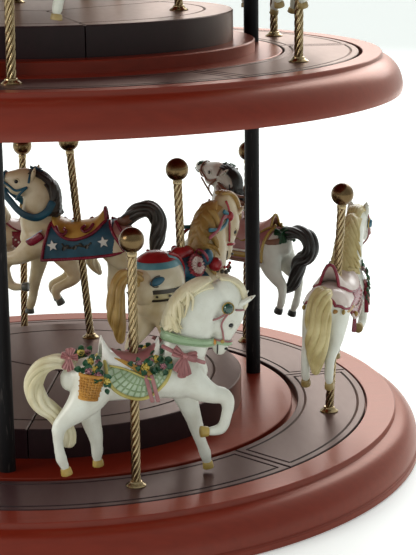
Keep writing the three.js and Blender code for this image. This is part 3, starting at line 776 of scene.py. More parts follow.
TAILS = {
    "curled": [(-29, 0, 62, 3, 3.4), (-35, 0, 65.4, 3.6, 3.8), (-41, 0, 66, 4, 3.9), (-47, 0, 63, 4.3, 4.2),
               (-50.3, 0, 56.5, 4.5, 4.7), (-49.3, 0, 50, 4.5, 4.9), (-45.5, 0, 44.5, 4.5, 4.8),
               (-40, 0, 40.3, 4, 4.3), (-35.8, 0, 35, 4, 4.6), (-33, 0, 29, 4.2, 5.2),
               (-30.8, 0, 24, 2.8, 3.6)],
    "swept": [(-28, 0, 62, 3, 3.4), (-35, 0, 64, 3.6, 3.8), (-41, 0, 60, 4, 4), (-43.5, 0, 53, 4.2, 4.4),
              (-43.5, 0, 46, 4, 4.4), (-45.5, 0, 39.5, 3.6, 4.2), (-49, 0, 34, 3, 3.6),
              (-52, 0, 29.5, 1.6, 1.8)],
    "arched": [(-27, 0, 63, 3.4, 3.6), (-32, 0, 69, 4, 4.4), (-39, 0, 73.8, 5, 5),
               (-46.5, 0, 74.3, 5.4, 5.2), (-50.5, 0, 68.5, 5.4, 5), (-50.5, 0, 61.5, 5.2, 4.8),
               (-48.5, 0, 54, 4.8, 4.6), (-46, 0, 46, 2.6, 2.6)],
    "knobbed": [(-27, 0, 63, 4, 4.2), (-33, 0, 70, 4.6, 5.2), (-41, 0, 74.5, 4.2, 4.4),
                (-48.5, 0, 77, 3.9, 3.7), (-53.5, 0, 73, 4.2, 4), (-55.5, 0, 66, 4.8, 4.4),
                (-56, 0, 58, 5, 4.6), (-54.5, 0, 50, 4, 3.8), (-53.5, 0, 43, 2.2, 2.2)],
    "looped": [(-28, 0, 62, 3.2, 3.6), (-35, 0, 65.5, 4, 4.2), (-43, 0, 67.6, 4.6, 4.4),
               (-50.5, 0, 66, 5, 4.8), (-54, 0, 60, 5, 5), (-51.5, 0, 53.5, 5, 4.8),
               (-45.5, 0, 49.5, 4.8, 4.8), (-43, 0, 42, 4.8, 4.6), (-40, 0, 33.5, 4.2, 4.2),
               (-34, 0, 28.5, 2.4, 2.6)],
    "hanging": [(-26, 0, 64, 3.6, 3.6), (-33, 0, 67.3, 5.2, 3.8), (-39, 0, 64, 6.6, 4.2),
                (-41.3, 0, 56, 7.4, 4.4), (-41.5, 0, 46, 7.2, 4.2), (-41, 0, 35, 5.8, 3.6),
                (-40, 0, 24.5, 2.4, 2)]}


class Head:
    """Places on a head: along the nose, towards the brow and out to one side."""

    def __init__(self, carriage):
        self.base, self.along = HEAD_PLACES[carriage]
        self.ear, self.gem = EAR_TIPS[carriage], GEM_PLACES[carriage]
        self.brow = (-self.along[1], self.along[0])

    def at(self, along, brow, out=0.0):
        return np.array([self.base[0] + self.along[0] * along + self.brow[0] * brow, out,
                         self.base[1] + self.along[1] * along + self.brow[1] * brow])

    def way(self, along, brow, out=0.0):
        made = np.array([self.along[0] * along + self.brow[0] * brow, out,
                         self.along[1] * along + self.brow[1] * brow])
        return made / np.linalg.norm(made)

    def tilt(self):
        return math.degrees(math.atan2(-self.along[1], self.along[0]))


def leg_side(leg, side):
    """Rows of a leg on one side, with a last one inside the top of its hoof."""
    rows, top, low = LEGS[leg]
    x, z = [top[i] + (low[i] - top[i]) * 0.4 for i in (0, 1)]
    return [(x, side * (LEG_OFFSET + out), z, w, h) for x, out, z, w, h in [*rows, (x, 0, z, 2.1, 2.2)]]


def hoof(top, low, side):
    """Flared hoof block from the pastern to the sole."""
    y = side * LEG_OFFSET
    top, low = np.array([top[0], y, top[1]]), np.array([low[0], y, low[1]])
    steps = ((0.38, 2.1), (0.46, 2.45), (0.92, 2.75), (1.0, 2.55))
    return tube([(*(top + (low - top) * t), r, r * 1.08) for t, r in steps], sides=12, steps=2, domed=False)


def skin(carriage, legs, voxel):
    """Trunk, neck, head and legs of a horse in one skin."""
    head = Head(carriage)
    shapes = [tube(TRUNK), tube(NECKS[carriage])]
    shapes.append(tube([(*head.at(a, b), w, h) for a, b, w, h in HEAD]))
    for side in (-1, 1):
        shapes.append(lump(head.at(13, -1, side * 3.6), (5.8, 2.6, 5.6)))
        shapes.append(lump(head.at(10, 5.6, side * 4.2), (3.4, 1.7, 2.6), (0, head.tilt(), 0)))
        shapes.append(lump(head.at(25, 2.4, side * 2.3), (2.8, 1.8, 2.2)))
    for leg, side in legs:
        shapes.append(tube(leg_side(leg, side)))
    return fused(shapes, voxel)


def face(model, head, coat):
    """Ears, eyes with lids, nostrils and mouth line."""
    for side in (-1, 1):
        root, tip = head.at(3.4, 4.5, side * 3.6), head.at(*head.ear, side * 4.8)
        out = head.way(-0.3, -0.1, side)
        rows = [(*(root + (tip - root) * t), w, h) for t, w, h in
                ((-0.15, 1.6, 1.6), (0.15, 2.2, 1.7), (0.45, 2.5, 1.5), (0.75, 1.7, 1.1), (1.0, 0.35, 0.35))]
        model.add(coat, tube(rows, sides=10, steps=3, across=out))
        model.add("ear_hollow", tube([(*(root + (tip - root) * t + out * 0.75), w, 0.9) for t, w in
                                      ((0.2, 0.6), (0.45, 1.4), (0.8, 0.5))], sides=8, steps=3,
                                     across=head.way(1, 0)))
        model.add("eye", lump(head.at(12.6, 2.8, side * 5.35), (1.5, 0.9, 1.3)))
        lid = [head.at(12.6 + 2.1 * math.cos(a), 2.8 + 1.8 * math.sin(a), side * (5.6 - 0.25 * math.cos(a)))
               for a in np.radians(np.linspace(20, 190, 8))]
        model.add(coat, cord(lid, 0.5, 7))
        model.add("eye", lump(head.at(25.3, 3.7, side * 3.55), (1.0, 0.6, 0.7)))
        mouth = [head.at(a, b, side * y)
                 for a, b, y in ((28.6, 0.2, 2.0), (26.5, -0.6, 3.3), (23.5, -1.2, 3.75))]
        model.add("eye", cord(mouth, 0.35, 6, 3))


def neck_side(carriage, s, angle, lift):
    """Point on the neck: s is 0 at the withers, 1 at the poll; angle 0 on the crest, positive on the left."""
    path = NECK_PATHS[carriage]
    k = min(max(s, 0.0), 1.0) * (len(path[0]) - 1)
    i = min(int(k), len(path[0]) - 2)
    centre, side, up, half = [p[i] + (p[i + 1] - p[i]) * (k - i) for p in path]
    return centre + side * math.sin(angle) * (half[0] + lift) + up * math.cos(angle) * (half[1] + lift)


def neck_path(rows):
    """Centres, sideways and upward directions and half sizes along a neck."""
    path = spline(rows, 6)
    _, side, up = lengthwise(path[:, :3], (0, 1, 0))
    return path[:, :3], side, up, path[:, 3:5]


NECK_PATHS = {carriage: neck_path(rows) for carriage, rows in NECKS.items()}


def mane(model, finish, carriage, seed, count=9, thick=1.9, drop=0.4, wave=0.1, lift=1.0, reach=1.1,
         foot=0.16):
    """Hair on both sides of the crest, up from its foot: a thin layer and separate wavy locks over it."""
    rng = np.random.default_rng(seed)
    grids = []
    for height in (lift + 0.5, lift - 1.6):
        grids.append(np.array([[neck_side(carriage, s, a, height) for a in np.linspace(-0.75, 0.75, 15)]
                               for s in np.linspace(foot, 1.0, 22)]))
    model.add(finish, shell(*grids))
    for side in (-1, 1):
        for k in range(count):
            start = foot + 0.06 + (1.02 - foot) * (k + 0.5 * (side > 0)) / count
            long = reach * rng.uniform(0.88, 1.1)
            beat, phase = rng.uniform(1.2, 1.8), rng.uniform(0, 6.28)
            rows = []
            for t in np.linspace(0, 1, 9):
                sway = wave * math.sin(beat * 2 * math.pi * t + phase) * (0.3 + t)
                ripple = 0.25 * wave * math.cos(beat * 2 * math.pi * t + phase) * t
                s = max(start - drop * t ** 0.9, foot - 0.03) + ripple
                angle = side * (-0.1 + long * t + sway * 0.5)
                girth = thick * (0.55 + 0.75 * math.sin(math.pi * min(t + 0.12, 1)) ** 0.7) * (1 - 0.35 * t)
                rows.append((*neck_side(carriage, s, angle, lift + 0.3), girth, girth * 0.7))
            rows[-1] = (*rows[-1][:3], 0.4, 0.4)
            model.add(finish, tube(rows, sides=8, steps=2))


def forelock(model, finish, head, seed):
    """Locks from the crest over the poll and down between the ears."""
    rng = np.random.default_rng(seed)
    for k in range(7):
        y = (k - 3) * 1.25
        tip, sway = rng.uniform(3.5, 7), rng.uniform(-0.7, 0.7)
        spots = [(-9.4, -3.5, 1.5), (-9.3, 1.5, 1.9), (-6.8, 6.2 + 0.5 * sway, 2.0), (-2.4, 9, 1.8),
                 (tip * 0.5, 10.6 + 0.3 * sway, 1.4), (tip, 10.3, 0.5)]
        rows = [(*head.at(a, b - 0.12 * y * y, y * (0.95 + 0.03 * a) + sway), girth, girth * 0.8)
                for a, b, girth in spots]
        model.add(finish, tube(rows, sides=8, steps=3, across=(0, 1, 0)))


def tail(model, finish, shape, seed):
    """Tail: a core with strands wound loosely round it."""
    strands, turns = 7, 0.55
    rng = np.random.default_rng(seed)
    path = spline(TAILS[shape], 5)
    centre, half = path[:, :3], path[:, 3:5]
    _, side, up = lengthwise(centre, (0, 1, 0))
    model.add(finish, tube(np.column_stack([centre, half * 0.82]), sides=12, steps=1))
    s = np.linspace(0, 1, len(path))
    for k in range(strands):
        first = 2 * math.pi * k / strands + rng.uniform(-0.2, 0.2)
        angle = first + turns * 2 * math.pi * s + 0.3 * np.sin(4 * math.pi * s + first)
        place = centre + side * (np.cos(angle) * half[:, 0] * 0.68)[:, None]
        place = place + up * (np.sin(angle) * half[:, 1] * 0.68)[:, None]
        girth = half.mean(1) * 0.42 * (0.8 + 0.2 * np.sin(math.pi * s))
        model.add(finish, tube(np.column_stack([place, girth, girth * 0.9]), sides=8, steps=1))


def grown(name, tree, sockets, values, line=None):
    """Mesh that a Geometry Nodes tree makes from its inputs and, where it needs one, a line of points."""
    points = np.zeros((1, 3)) if line is None else np.array(line)
    mesh = bpy.data.meshes.new("host")
    mesh.from_pydata((points * MM).tolist(), [(i, i + 1) for i in range(len(points) - 1)], [])
    host = linked("host", mesh)
    grow = host.modifiers.new("grow", "NODES")
    grow.node_group = tree
    for key, value in values.items():
        grow[sockets[key]] = value
    made = evaluated(host)
    made.name = name
    return made


def new_tree(name, inputs):
    """Geometry Nodes tree with named inputs: the tree, their identifiers and their sockets inside it."""
    tree = bpy.data.node_groups.new(name, "GeometryNodeTree")
    sockets = {}
    for label, kind in inputs.items():
        sockets[label] = tree.interface.new_socket(label, in_out="INPUT", socket_type=kind).identifier
    tree.interface.new_socket("Geometry", in_out="OUTPUT", socket_type="NodeSocketGeometry")
    return tree, sockets, add(tree, "NodeGroupInput").outputs


def finish_tree(tree, instances, material):
    """Makes the instances real, gives them their material and puts them out."""
    real = add(tree, "GeometryNodeRealizeInstances", {0: instances})
    paint = add(tree, "GeometryNodeSetMaterial", {"Geometry": real.outputs[0], "Material": material})
    add(tree, "NodeGroupOutput", {"Geometry": paint.outputs[0]})


# Trappings that the horses wear

FLANK = np.array(TRUNK, float)


def trunk_at(x):
    """Height of the trunk's middle, its half width and its half height at x."""
    return [np.interp(x, FLANK[:, 0], FLANK[:, i]) for i in (2, 3, 4)]


def back_line(x0, x1, lift):
    """Points [x, z] along the top of the trunk."""
    return [(x, np.interp(x, FLANK[:, 0], FLANK[:, 2] + FLANK[:, 4]) + lift) for x in np.linspace(x0, x1, 6)]


def flank(x, z, lift, side):
    """Point on the side of the trunk; below its middle it hangs straight down, as a cloth does."""
    middle, wide, tall = trunk_at(x)
    over = min(max((z - middle) / (tall + lift), 0.0), 0.97)
    return np.array([x, side * (wide + lift) * math.sqrt(1 - over * over), z])


def curve(points, x):
    """Height at x of a smooth line through points, which run towards +x."""
    line = spline(points, 8)
    return float(np.interp(x, line[:, 0], line[:, 1]))


def flank_cloth(side, low, high, x0, x1, lift, rows=30, lean=(0, 0)):
    """Cloth on the flank between two lines; lean is how far its upper corners stand forward."""
    thick, columns = 1.2, 12

    def grid(height):
        made = np.zeros((rows, columns, 3))
        for i, x in enumerate(np.linspace(x0, x1, rows)):
            bottom, top = curve(low, x), curve(high, x)
            shift = np.interp(x, (x0, x1), lean)
            for j, t in enumerate(np.linspace(0, 1, columns)):
                made[i, j] = flank(x + shift * t, bottom + (top - bottom) * t, height, side)
        return made
    return shell(grid(lift), grid(lift - thick))


def flank_braid(side, line, lift, radius, steps=6):
    """Cord or hem along a line of [x, z] points on the flank."""
    return cord([flank(x, z, lift, side) for x, z in spline(line, steps)], radius)


def strap(points, outs, wide, thick=0.5):
    """Flat strap through points, its face turned to the out directions; wide is half its width."""
    steps = 4
    rows = [(*p, thick, wide) for p in points]
    across = spline([(*o, 0, 0) for o in outs], steps)[:, :3]
    return tube(rows, sides=8, steps=steps, across=across)


def flank_strap(side, line, lift, wide, thick=0.5):
    """Flat strap along [x, z] points on the flank."""
    points = [flank(x, z, lift, side) for x, z in line]
    outs = [flank(x, z, lift + 5, side) - p for (x, z), p in zip(line, points)]
    return strap(points, outs, wide, thick)


def girdle(centre, lean, long, wide, half, thick=0.5):
    """Strap round a neck or nose: an ellipse in a plane that leans about the y axis."""
    spin = np.array(Matrix.Rotation(math.radians(lean), 3, "Y"))
    rows, outs = [], []
    for a in np.radians(np.linspace(0, 360, 24)):
        rows.append(np.asarray(centre) + spin @ np.array((long * math.cos(a), wide * math.sin(a), 0)))
        out = spin @ np.array((math.cos(a) / long, math.sin(a) / wide, 0))
        outs.append(out / np.linalg.norm(out))
    path = [(*p, thick, half) for p in rows]
    return tube(path, sides=8, steps=1, across=np.array(outs), domed=False)


def frame_of(out, direction):
    """Unit vectors out, along a direction square to it and sideways."""
    out = np.asarray(out, float) / np.linalg.norm(out)
    direction = np.asarray(direction, float) - out * np.dot(direction, out)
    direction /= np.linalg.norm(direction)
    return out, direction, np.cross(out, direction)


def pleated(root, out, direction, long, near, far, pleats=3, deep=0.5, thick=0.7, curl=0.0):
    """Gathered ribbon that widens from its root; near and far are its half widths."""
    out, direction, side = frame_of(out, direction)
    grid = np.zeros((8, 4 * pleats + 1, 3))
    for i, s in enumerate(np.linspace(0, 1, 8)):
        half = near + (far - near) * math.sin(s * math.pi / 2)
        for j, v in enumerate(np.linspace(-1, 1, 4 * pleats + 1)):
            fold = deep * math.cos(pleats * math.pi * v) * (0.35 + 0.65 * s)
            rise = fold + curl * s * s
            grid[i, j] = root + direction * (long * s * (1 - 0.08 * v * v)) + side * half * v + out * rise
    return shell(grid, grid - out * thick)


def bow(root, out, up, size, tails=((-0.35, -1, 1.25), (0.3, -1, 1.35))):
    """Tied ribbon: two gathered loops, a knot and hanging tails."""
    out, up, side = frame_of(out, up)
    shapes = [lump(root + out * 0.5 * size * 0.2, (size * 0.22, size * 0.22, size * 0.2), sides=10)]
    for way in (-1, 1):
        lean = side * way + up * 0.22
        shapes.append(pleated(root, out, lean, size, size * 0.12, size * 0.42, 3, size * 0.07, size * 0.1,
                              size * 0.1))
        shapes.append(pleated(root + lean * size * 0.9, out, -lean, size * 0.75, size * 0.36, size * 0.14, 2,
                              size * 0.05,
                              size * 0.1, size * 0.16))
    for across, drop, long in tails:
        shapes.append(pleated(root - out * 0.1, out, side * across + up * drop, size * long, size * 0.12,
                              size * 0.34, 2,
                              size * 0.06, size * 0.09))
    return shapes


def rose(root, out, size, seed):
    """Rose: a bud within two rounds of cupped petals."""
    first = np.random.default_rng(seed).uniform(0, 6.28)
    out, east, north = frame_of(out, (0.3, 0.2, 1))
    shapes = [lump(root + out * size * 0.4, (size * 0.42, size * 0.42, size * 0.42), sides=8)]
    for count, reach, rise, wide in ((5, 0.66, 0.12, 0.5), (4, 0.38, 0.42, 0.38)):
        for i in range(count):
            a = first + 2 * math.pi * i / count
            away = east * math.cos(a) + north * math.sin(a)
            across = north * math.cos(a) - east * math.sin(a)
            spine = [root + away * reach * size + out * size * (rise + t) + away * size * t * 0.35
                     for t in (-0.3, 0.0, 0.3)]
            rows = [(*p, wide * size * k, 0.13 * size) for p, k in zip(spine, (0.7, 1.0, 0.7))]
            shapes.append(tube(rows, sides=8, steps=1, across=across))
    return shapes


def leaf(root, out, direction, size):
    """Pointed leaf, folded a little along its midrib."""
    out, direction, side = frame_of(out, direction)
    grid = np.zeros((7, 5, 3))
    for i, s in enumerate(np.linspace(0, 1, 7)):
        half = 0.4 * math.sin(math.pi * (0.08 + 0.92 * s)) ** 0.8
        for j, v in enumerate(np.linspace(-1, 1, 5)):
            lift = 0.14 * abs(v) + 0.16 * math.sin(math.pi * s)
            grid[i, j] = root + (direction * s + side * half * v + out * lift) * size
    return shell(grid, grid - out * size * 0.13)


def spray(model, spots, seed, leaves=3):
    """Leaves and roses at spots of (point, out, rose finish or None, size)."""
    rng = np.random.default_rng(seed)
    for i, (root, out, finish, size) in enumerate(spots):
        out, east, north = frame_of(out, (0.2, 0.1, 1))
        first = rng.uniform(0, 6.28)
        for k in range(leaves):
            a = first + 2 * math.pi * k / leaves + rng.uniform(-0.3, 0.3)
            away = east * math.cos(a) + north * math.sin(a)
            model.add("leaf", leaf(root + away * size * 0.25, out - away * 0.3, away, size * 1.7))
        if finish:
            model.add(finish, *rose(root + out * size * 0.15, out, size, seed + i))


def gem(root, out, radius):
    """Round gem with a flat table, and the bezel round it."""
    out, east, north = frame_of(out, (0.1, 0.2, 1))
    rings = ((-0.3, 1.0), (0.15, 1.0), (0.5, 0.72), (0.56, 0.66))
    rows = [(*(root + out * radius * h), radius * k, radius * k) for h, k in rings]
    stone = tube(rows, sides=12, steps=1, across=east, domed=False)
    loop = [root + (east * math.cos(a) + north * math.sin(a)) * radius * 1.06
            for a in np.linspace(0, 2 * math.pi, 21)]
    return stone, cord(loop, 0.35, 6, across=out, domed=False)


def star(root, out, up, size):
    """Five-pointed star, a little raised in its middle."""
    thick = 0.5
    out, up, side = frame_of(out, up)
    ring = [root + (up * math.cos(a) + side * math.sin(a)) * size * (1 if i % 2 == 0 else 0.45)
            for i, a in enumerate(np.linspace(0, 2 * math.pi, 10, endpoint=False))]
    points = [p + out * thick * 0.4 for p in ring] + [p - out * thick for p in ring]
    points += [root + out * thick, root - out]
    faces = []
    for i in range(10):
        k = (i + 1) % 10
        faces += [(20, i, k), (i, 10 + i, 10 + k, k), (21, 10 + k, 10 + i)]
    return turned_out(np.array(points), faces)


def new_bead_tree():
    """Geometry Nodes: round beads at even steps along a line."""
    tree, sockets, given = new_tree("bead_string", {
        "Line": "NodeSocketGeometry", "Radius": "NodeSocketFloat", "Spacing": "NodeSocketFloat",
        "Paint": "NodeSocketMaterial"})
    line = add(tree, "GeometryNodeMeshToCurve", {"Mesh": given["Line"]})
    even = add(tree, "GeometryNodeResampleCurve", {"Curve": line.outputs[0], "Length": given["Spacing"]},
               mode="LENGTH")
    ball = add(tree, "GeometryNodeMeshUVSphere", {"Segments": 10, "Rings": 6, "Radius": given["Radius"]})
    string = add(tree, "GeometryNodeInstanceOnPoints",
                 {"Points": even.outputs[0], "Instance": ball.outputs[0]})
    finish_tree(tree, string.outputs[0], given["Paint"])
    return tree, sockets


BEAD_TREE, BEAD_SOCKETS = new_bead_tree()


def beads(line, radius, spacing):
    """String of beads along a line of points."""
    return shape_of(grown("beads", BEAD_TREE, BEAD_SOCKETS, {
        "Radius": radius * MM, "Spacing": spacing * MM, "Paint": FINISH["eye"]}, line))


def basket(root, out, up, wide, tall):
    """Half-round basket: upright stakes, and weavers that pass before and behind them."""
    out, up, side = frame_of(out, up)
    shapes = []

    def wall(a, s, lift):
        half = wide * (0.72 + 0.28 * s)
        spread, swell = math.cos(a) * (half + lift), math.sin(a) * (half * 0.5 + lift)
        return root + side * spread + out * swell + up * tall * s
    grids = [np.array([[wall(a, s, lift) for a in np.linspace(-0.2, math.pi + 0.2, 21)]
                       for s in np.linspace(0, 1, 7)])
             for lift in (0.0, -0.8)]
    shapes.append(shell(*grids))
    stakes = 11
    for k in range(stakes):
        a = math.pi * k / (stakes - 1)
        shapes.append(cord([wall(a, s, 0.15) for s in (0, 0.5, 1.0)], 0.4, 6, 2))
    rounds = 9
    for level in range(rounds):
        path = []
        for a in np.linspace(0, math.pi, 4 * stakes - 3):
            sway = 0.42 * math.cos((stakes - 1) * a + math.pi * level)
            path.append((*wall(a, (level + 0.6) / rounds, 0.3 + sway), 0.36, 0.34))
        shapes.append(tube(path, sides=6, steps=1, across=up))
    for s, lift, radius in ((1.02, 0.4, 0.75), (0.0, 0.3, 0.6)):
        shapes.append(cord([wall(a, s, lift) for a in np.linspace(-0.1, math.pi + 0.1, 21)], radius))
    return shapes


def saddle(model, finish, ridge, half_angle, x0, x1, lift=1.4, thick=2.2, scallops=0, rim=None):
    """Seat over the back whose middle follows the ridge; rim is the finish and radius of its edge."""
    rows, columns = 34, 17

    def grid(height):
        made = np.zeros((rows, columns, 3))
        for i, x in enumerate(np.linspace(x0, x1, rows)):
            middle, wide, tall = trunk_at(x)
            t = (x - x0) / (x1 - x0)
            edge = math.radians(curve(half_angle, x))
            if scallops:
                edge *= 1 + 0.07 * abs(math.sin(scallops * math.pi * t))
            rise = curve(ridge, x) - (middle + tall + lift)
            for j, v in enumerate(np.linspace(-1, 1, columns)):
                a = v * edge
                crown = max(1 - abs(v) ** 2.2, 0.0)
                made[i, j] = (x, (wide + height) * math.sin(a),
                              middle + (tall + height) * math.cos(a) + rise * crown)
        return made
    model.add(finish, shell(grid(lift), grid(lift - thick)))
    if rim:
        edge = grid(lift - thick * 0.4)
        for line in (edge[:, 0], edge[:, -1], edge[0], edge[-1]):
            model.add(rim[0], cord(line, rim[1], across=(0.1, 0.2, 1)))


def bridle(model, head, finish, half=0.55, gem_finish=None):
    """Cheek straps, brow band, nose band and a gem on each side of the brow."""
    model.add(finish, nose_band(head, 21.5, 0.5, half))
    model.add(finish, nose_band(head, 4.6, 0.4, half, turn=(-75, 75)))
    for side in (-1, 1):
        spots = [(5.5, 0.5, 6.6), (12, -2.5, 6.5), (17, -0.5, 5.5), (21.5, 1.4, 4.5)]
        points = [head.at(a, b, side * (out + 0.25)) for a, b, out in spots]
        outs = [(0, side, 0)] * len(points)
        model.add(finish, strap(points, outs, half))
        throat = [head.at(a, b, side * out)
                  for a, b, out in ((5.5, 0.5, 6.8), (10, -5, 6.4), (12.5, -9.2, 3.4))]
        model.add(finish, strap(throat, [(0, side, 0)] * 3, half))
        if gem_finish:
            stone, bezel = gem(head.at(*head.gem, side * 6.9), (0, side, 0), GEM_RADIUS)
            model.add(gem_finish, stone)
            model.add("antique_gold", bezel)
        model.add("antique_gold", lump(head.at(21.5, 0.6, side * 4.9), (1.2, 0.7, 1.2), sides=8))


def nose_band(head, along, lift, half, turn=(-180, 180)):
    """Strap round the head, square to the nose."""
    k = [h[0] for h in HEAD]
    brow, wide, deep = [np.interp(along, k, [h[i] for h in HEAD]) for i in (1, 2, 3)]
    rows, outs = [], []
    for a in np.radians(np.linspace(turn[0], turn[1], 26)):
        spot = head.at(along, brow + (deep + lift) * math.cos(a), (wide + lift) * math.sin(a))
        rows.append((*spot, 0.5, half))
        outs.append(head.way(0, math.cos(a) / deep, math.sin(a) / wide))
    return tube(rows, sides=8, steps=1, across=np.array(outs))


def lattice_blanket(model, side):
    """Fan-shaped blanket of the front horse: a ribbed lattice in a yellow-green hem."""
    low = [(-17.4, 67.3), (-17.2, 60.5), (-13.6, 55), (-7.5, 51.4), (-0.6, 49.9), (4.6, 51.2), (8.6, 54.2),
           (12.2, 58.2), (14.6, 63.2), (15.5, 67.4)]
    model.add("lattice",
              flank_cloth(side, low, [(-17.4, 68), (-9, 69), (4, 69), (15.5, 69)], -17.3, 15.4, 1.0))
    model.add("trim_yellow", flank_braid(side, low, 1.2, 0.9))
    centre = np.array((2.5, 68.5))
    hem = spline(low, 6)
    for point in hem[3:-4:3]:
        inner = centre + (point - centre) * 0.3
        model.add("lattice_rib", flank_braid(side, [inner, (inner + point) / 2, point], 1.05, 0.42, 4))
    for share in (0.46, 0.64, 0.82):
        model.add("lattice_rib",
                  flank_braid(side, [centre + (p - centre) * share for p in hem[2:-2:4]], 1.05, 0.36, 3))


def flower_basket(model, side):
    """Wicker basket of roses on the croup of the front horse."""
    model.add("wicker", *basket(flank(-26.2, 50.6, 1.2, side), (0, side, 0), (0.13, 0, 1), 5.9, 11.6))
    spots = [(-29.4, 64.6, None, 2.4), (-26.6, 63.6, "rose_pink", 2.3), (-22.6, 62.2, "rose_pink", 2.2),
             (-19.8, 61.6, None, 2.2), (-18.2, 59.8, "rose_yellow", 2.0), (-18.6, 56.4, None, 1.8),
             (-23.6, 65, "rose_yellow", 2.0), (-28.2, 65.6, None, 2.0), (-21.2, 65.2, None, 2.1),
             (-25.4, 67.6, "rose_yellow", 2.3), (-21.6, 67.4, "rose_pink", 2.0)]
    spray(model, [(flank(x, z, 2.6, side), (0, side, 0.4), rose_finish, size)
                  for x, z, rose_finish, size in spots], 60, 2)


def dress_bowed(model, head):
    """White saddle, lattice blanket, roses, basket, ribbons and a mint neck band."""
    ridge = [(-18, 78.8), (-16, 75.4), (-12.4, 71.6), (-5, 69.5), (3, 69.7), (7, 71.4), (9.6, 74.4),
             (11, 77.4)]
    saddle(model, "white_gloss", ridge, [(-18, 20), (-14, 42), (-4, 54), (6, 48), (11, 22)], -18, 11)
    cover = [(x, z + 0.5) for x, z in ridge[2:-1]]
    saddle(model, "mauve", cover, [(-12.8, 20), (-8, 30), (0, 34), (6, 30), (9.2, 18)], -12.8, 9.2, 2.2, 1.4,
           scallops=7)
    for side in (-1, 1):
        lattice_blanket(model, side)
        band = [(-15.4, 68), (-10.5, 67.2), (-5.3, 65.6), (-0.5, 63.6), (4.6, 61.8)]
        model.add("mustard", flank_strap(side, band, 1.7, 1.6))
        model.add("trim_yellow", flank_braid(side, [(x, z - 2.1) for x, z in band], 1.8, 0.55))
        for x in (1.6, 4.6):
            fall = [(x, 61.5), (x + 1.4, 57), (x + 2.7, 52.8), (x + 4.2, 48.6)]
            model.add("mauve", flank_strap(side, fall, 2.0, 1.0))
        ribbon = [(11, side * 7.8, 74.8), (14.5, side * 9.8, 73.2), (18, side * 10.5, 71.8),
                  (21.5, side * 10.9, 70.8), (26, side * 10.9, 69), (30, side * 10, 67.2),
                  (33.4, side * 8, 65.8)]
        model.add("mauve", strap(ribbon, [(0.1, side, 0.2)] * len(ribbon), 1.0, 0.6))
        knot = np.array((21.6, side * 10.9, 70.2))
        model.add("mauve", *bow(knot, (0.15, side, 0.3), (0.32, 0, 1), 6.8,
                                ((-0.3 * side, -1, 1.3), (0.1 * side, -1, 1.6), (0.45 * side, -1, 1.45))))
        spots = [(-3.6, 66.6, None, 2.0), (-1.2, 66.8, "rose_pink", 1.8), (1.5, 65.2, "rose_yellow", 2.4),
                 (-0.8, 63.8, None, 1.9), (4.6, 65.2, None, 2.2), (4.8, 67.8, "rose_pink", 1.9),
                 (7.6, 68.4, "rose_yellow", 2.3), (8.2, 65, None, 2.3), (10.4, 65.6, "rose_pink", 2.0),
                 (11.8, 68.4, None, 2.3), (12.6, 64.2, None, 2.1), (9.4, 70.4, None, 2.1)]
        spray(model, [(flank(x, z, 2.3, side), (0.1, side, 0.35), rose_finish, size)
                      for x, z, rose_finish, size in spots], 40, 2)
        flower_basket(model, side)
    model.add("mint", girdle((26.3, 0, 76.6), 9, 13.2, 9.0, 2.1, 0.9),
              girdle((26.5, 0, 75.2), 6, 13.1, 9.2, 0.6, 1.3),
              girdle((26.2, 0, 78.2), 11, 13.1, 9.0, 0.6, 1.2))
    model.add("mauve", *bow(np.array((-34.6, -4.6, 69.2)), (-0.2, -1, 0.15), (0.12, 0, 1), 4.2,
                            ((-0.35, -1, 1.5), (0.3, -1, 1.5), (-0.2, 1, 1.2), (0.3, 1, 1.1))),
              girdle((-34.8, 0, 65.8), 74, 4.6, 4.4, 1.2, 0.7))
    bridle(model, head, "mauve", 0.5, "green_gem")
    model.add("mint", nose_band(head, 22.6, 0.7, 0.9))
    for side in (-1, 1):
        model.add("orange_boss", lump(head.at(22.8, -3.6, side * 3.6), (1.7, 0.9, 1.7), sides=10))


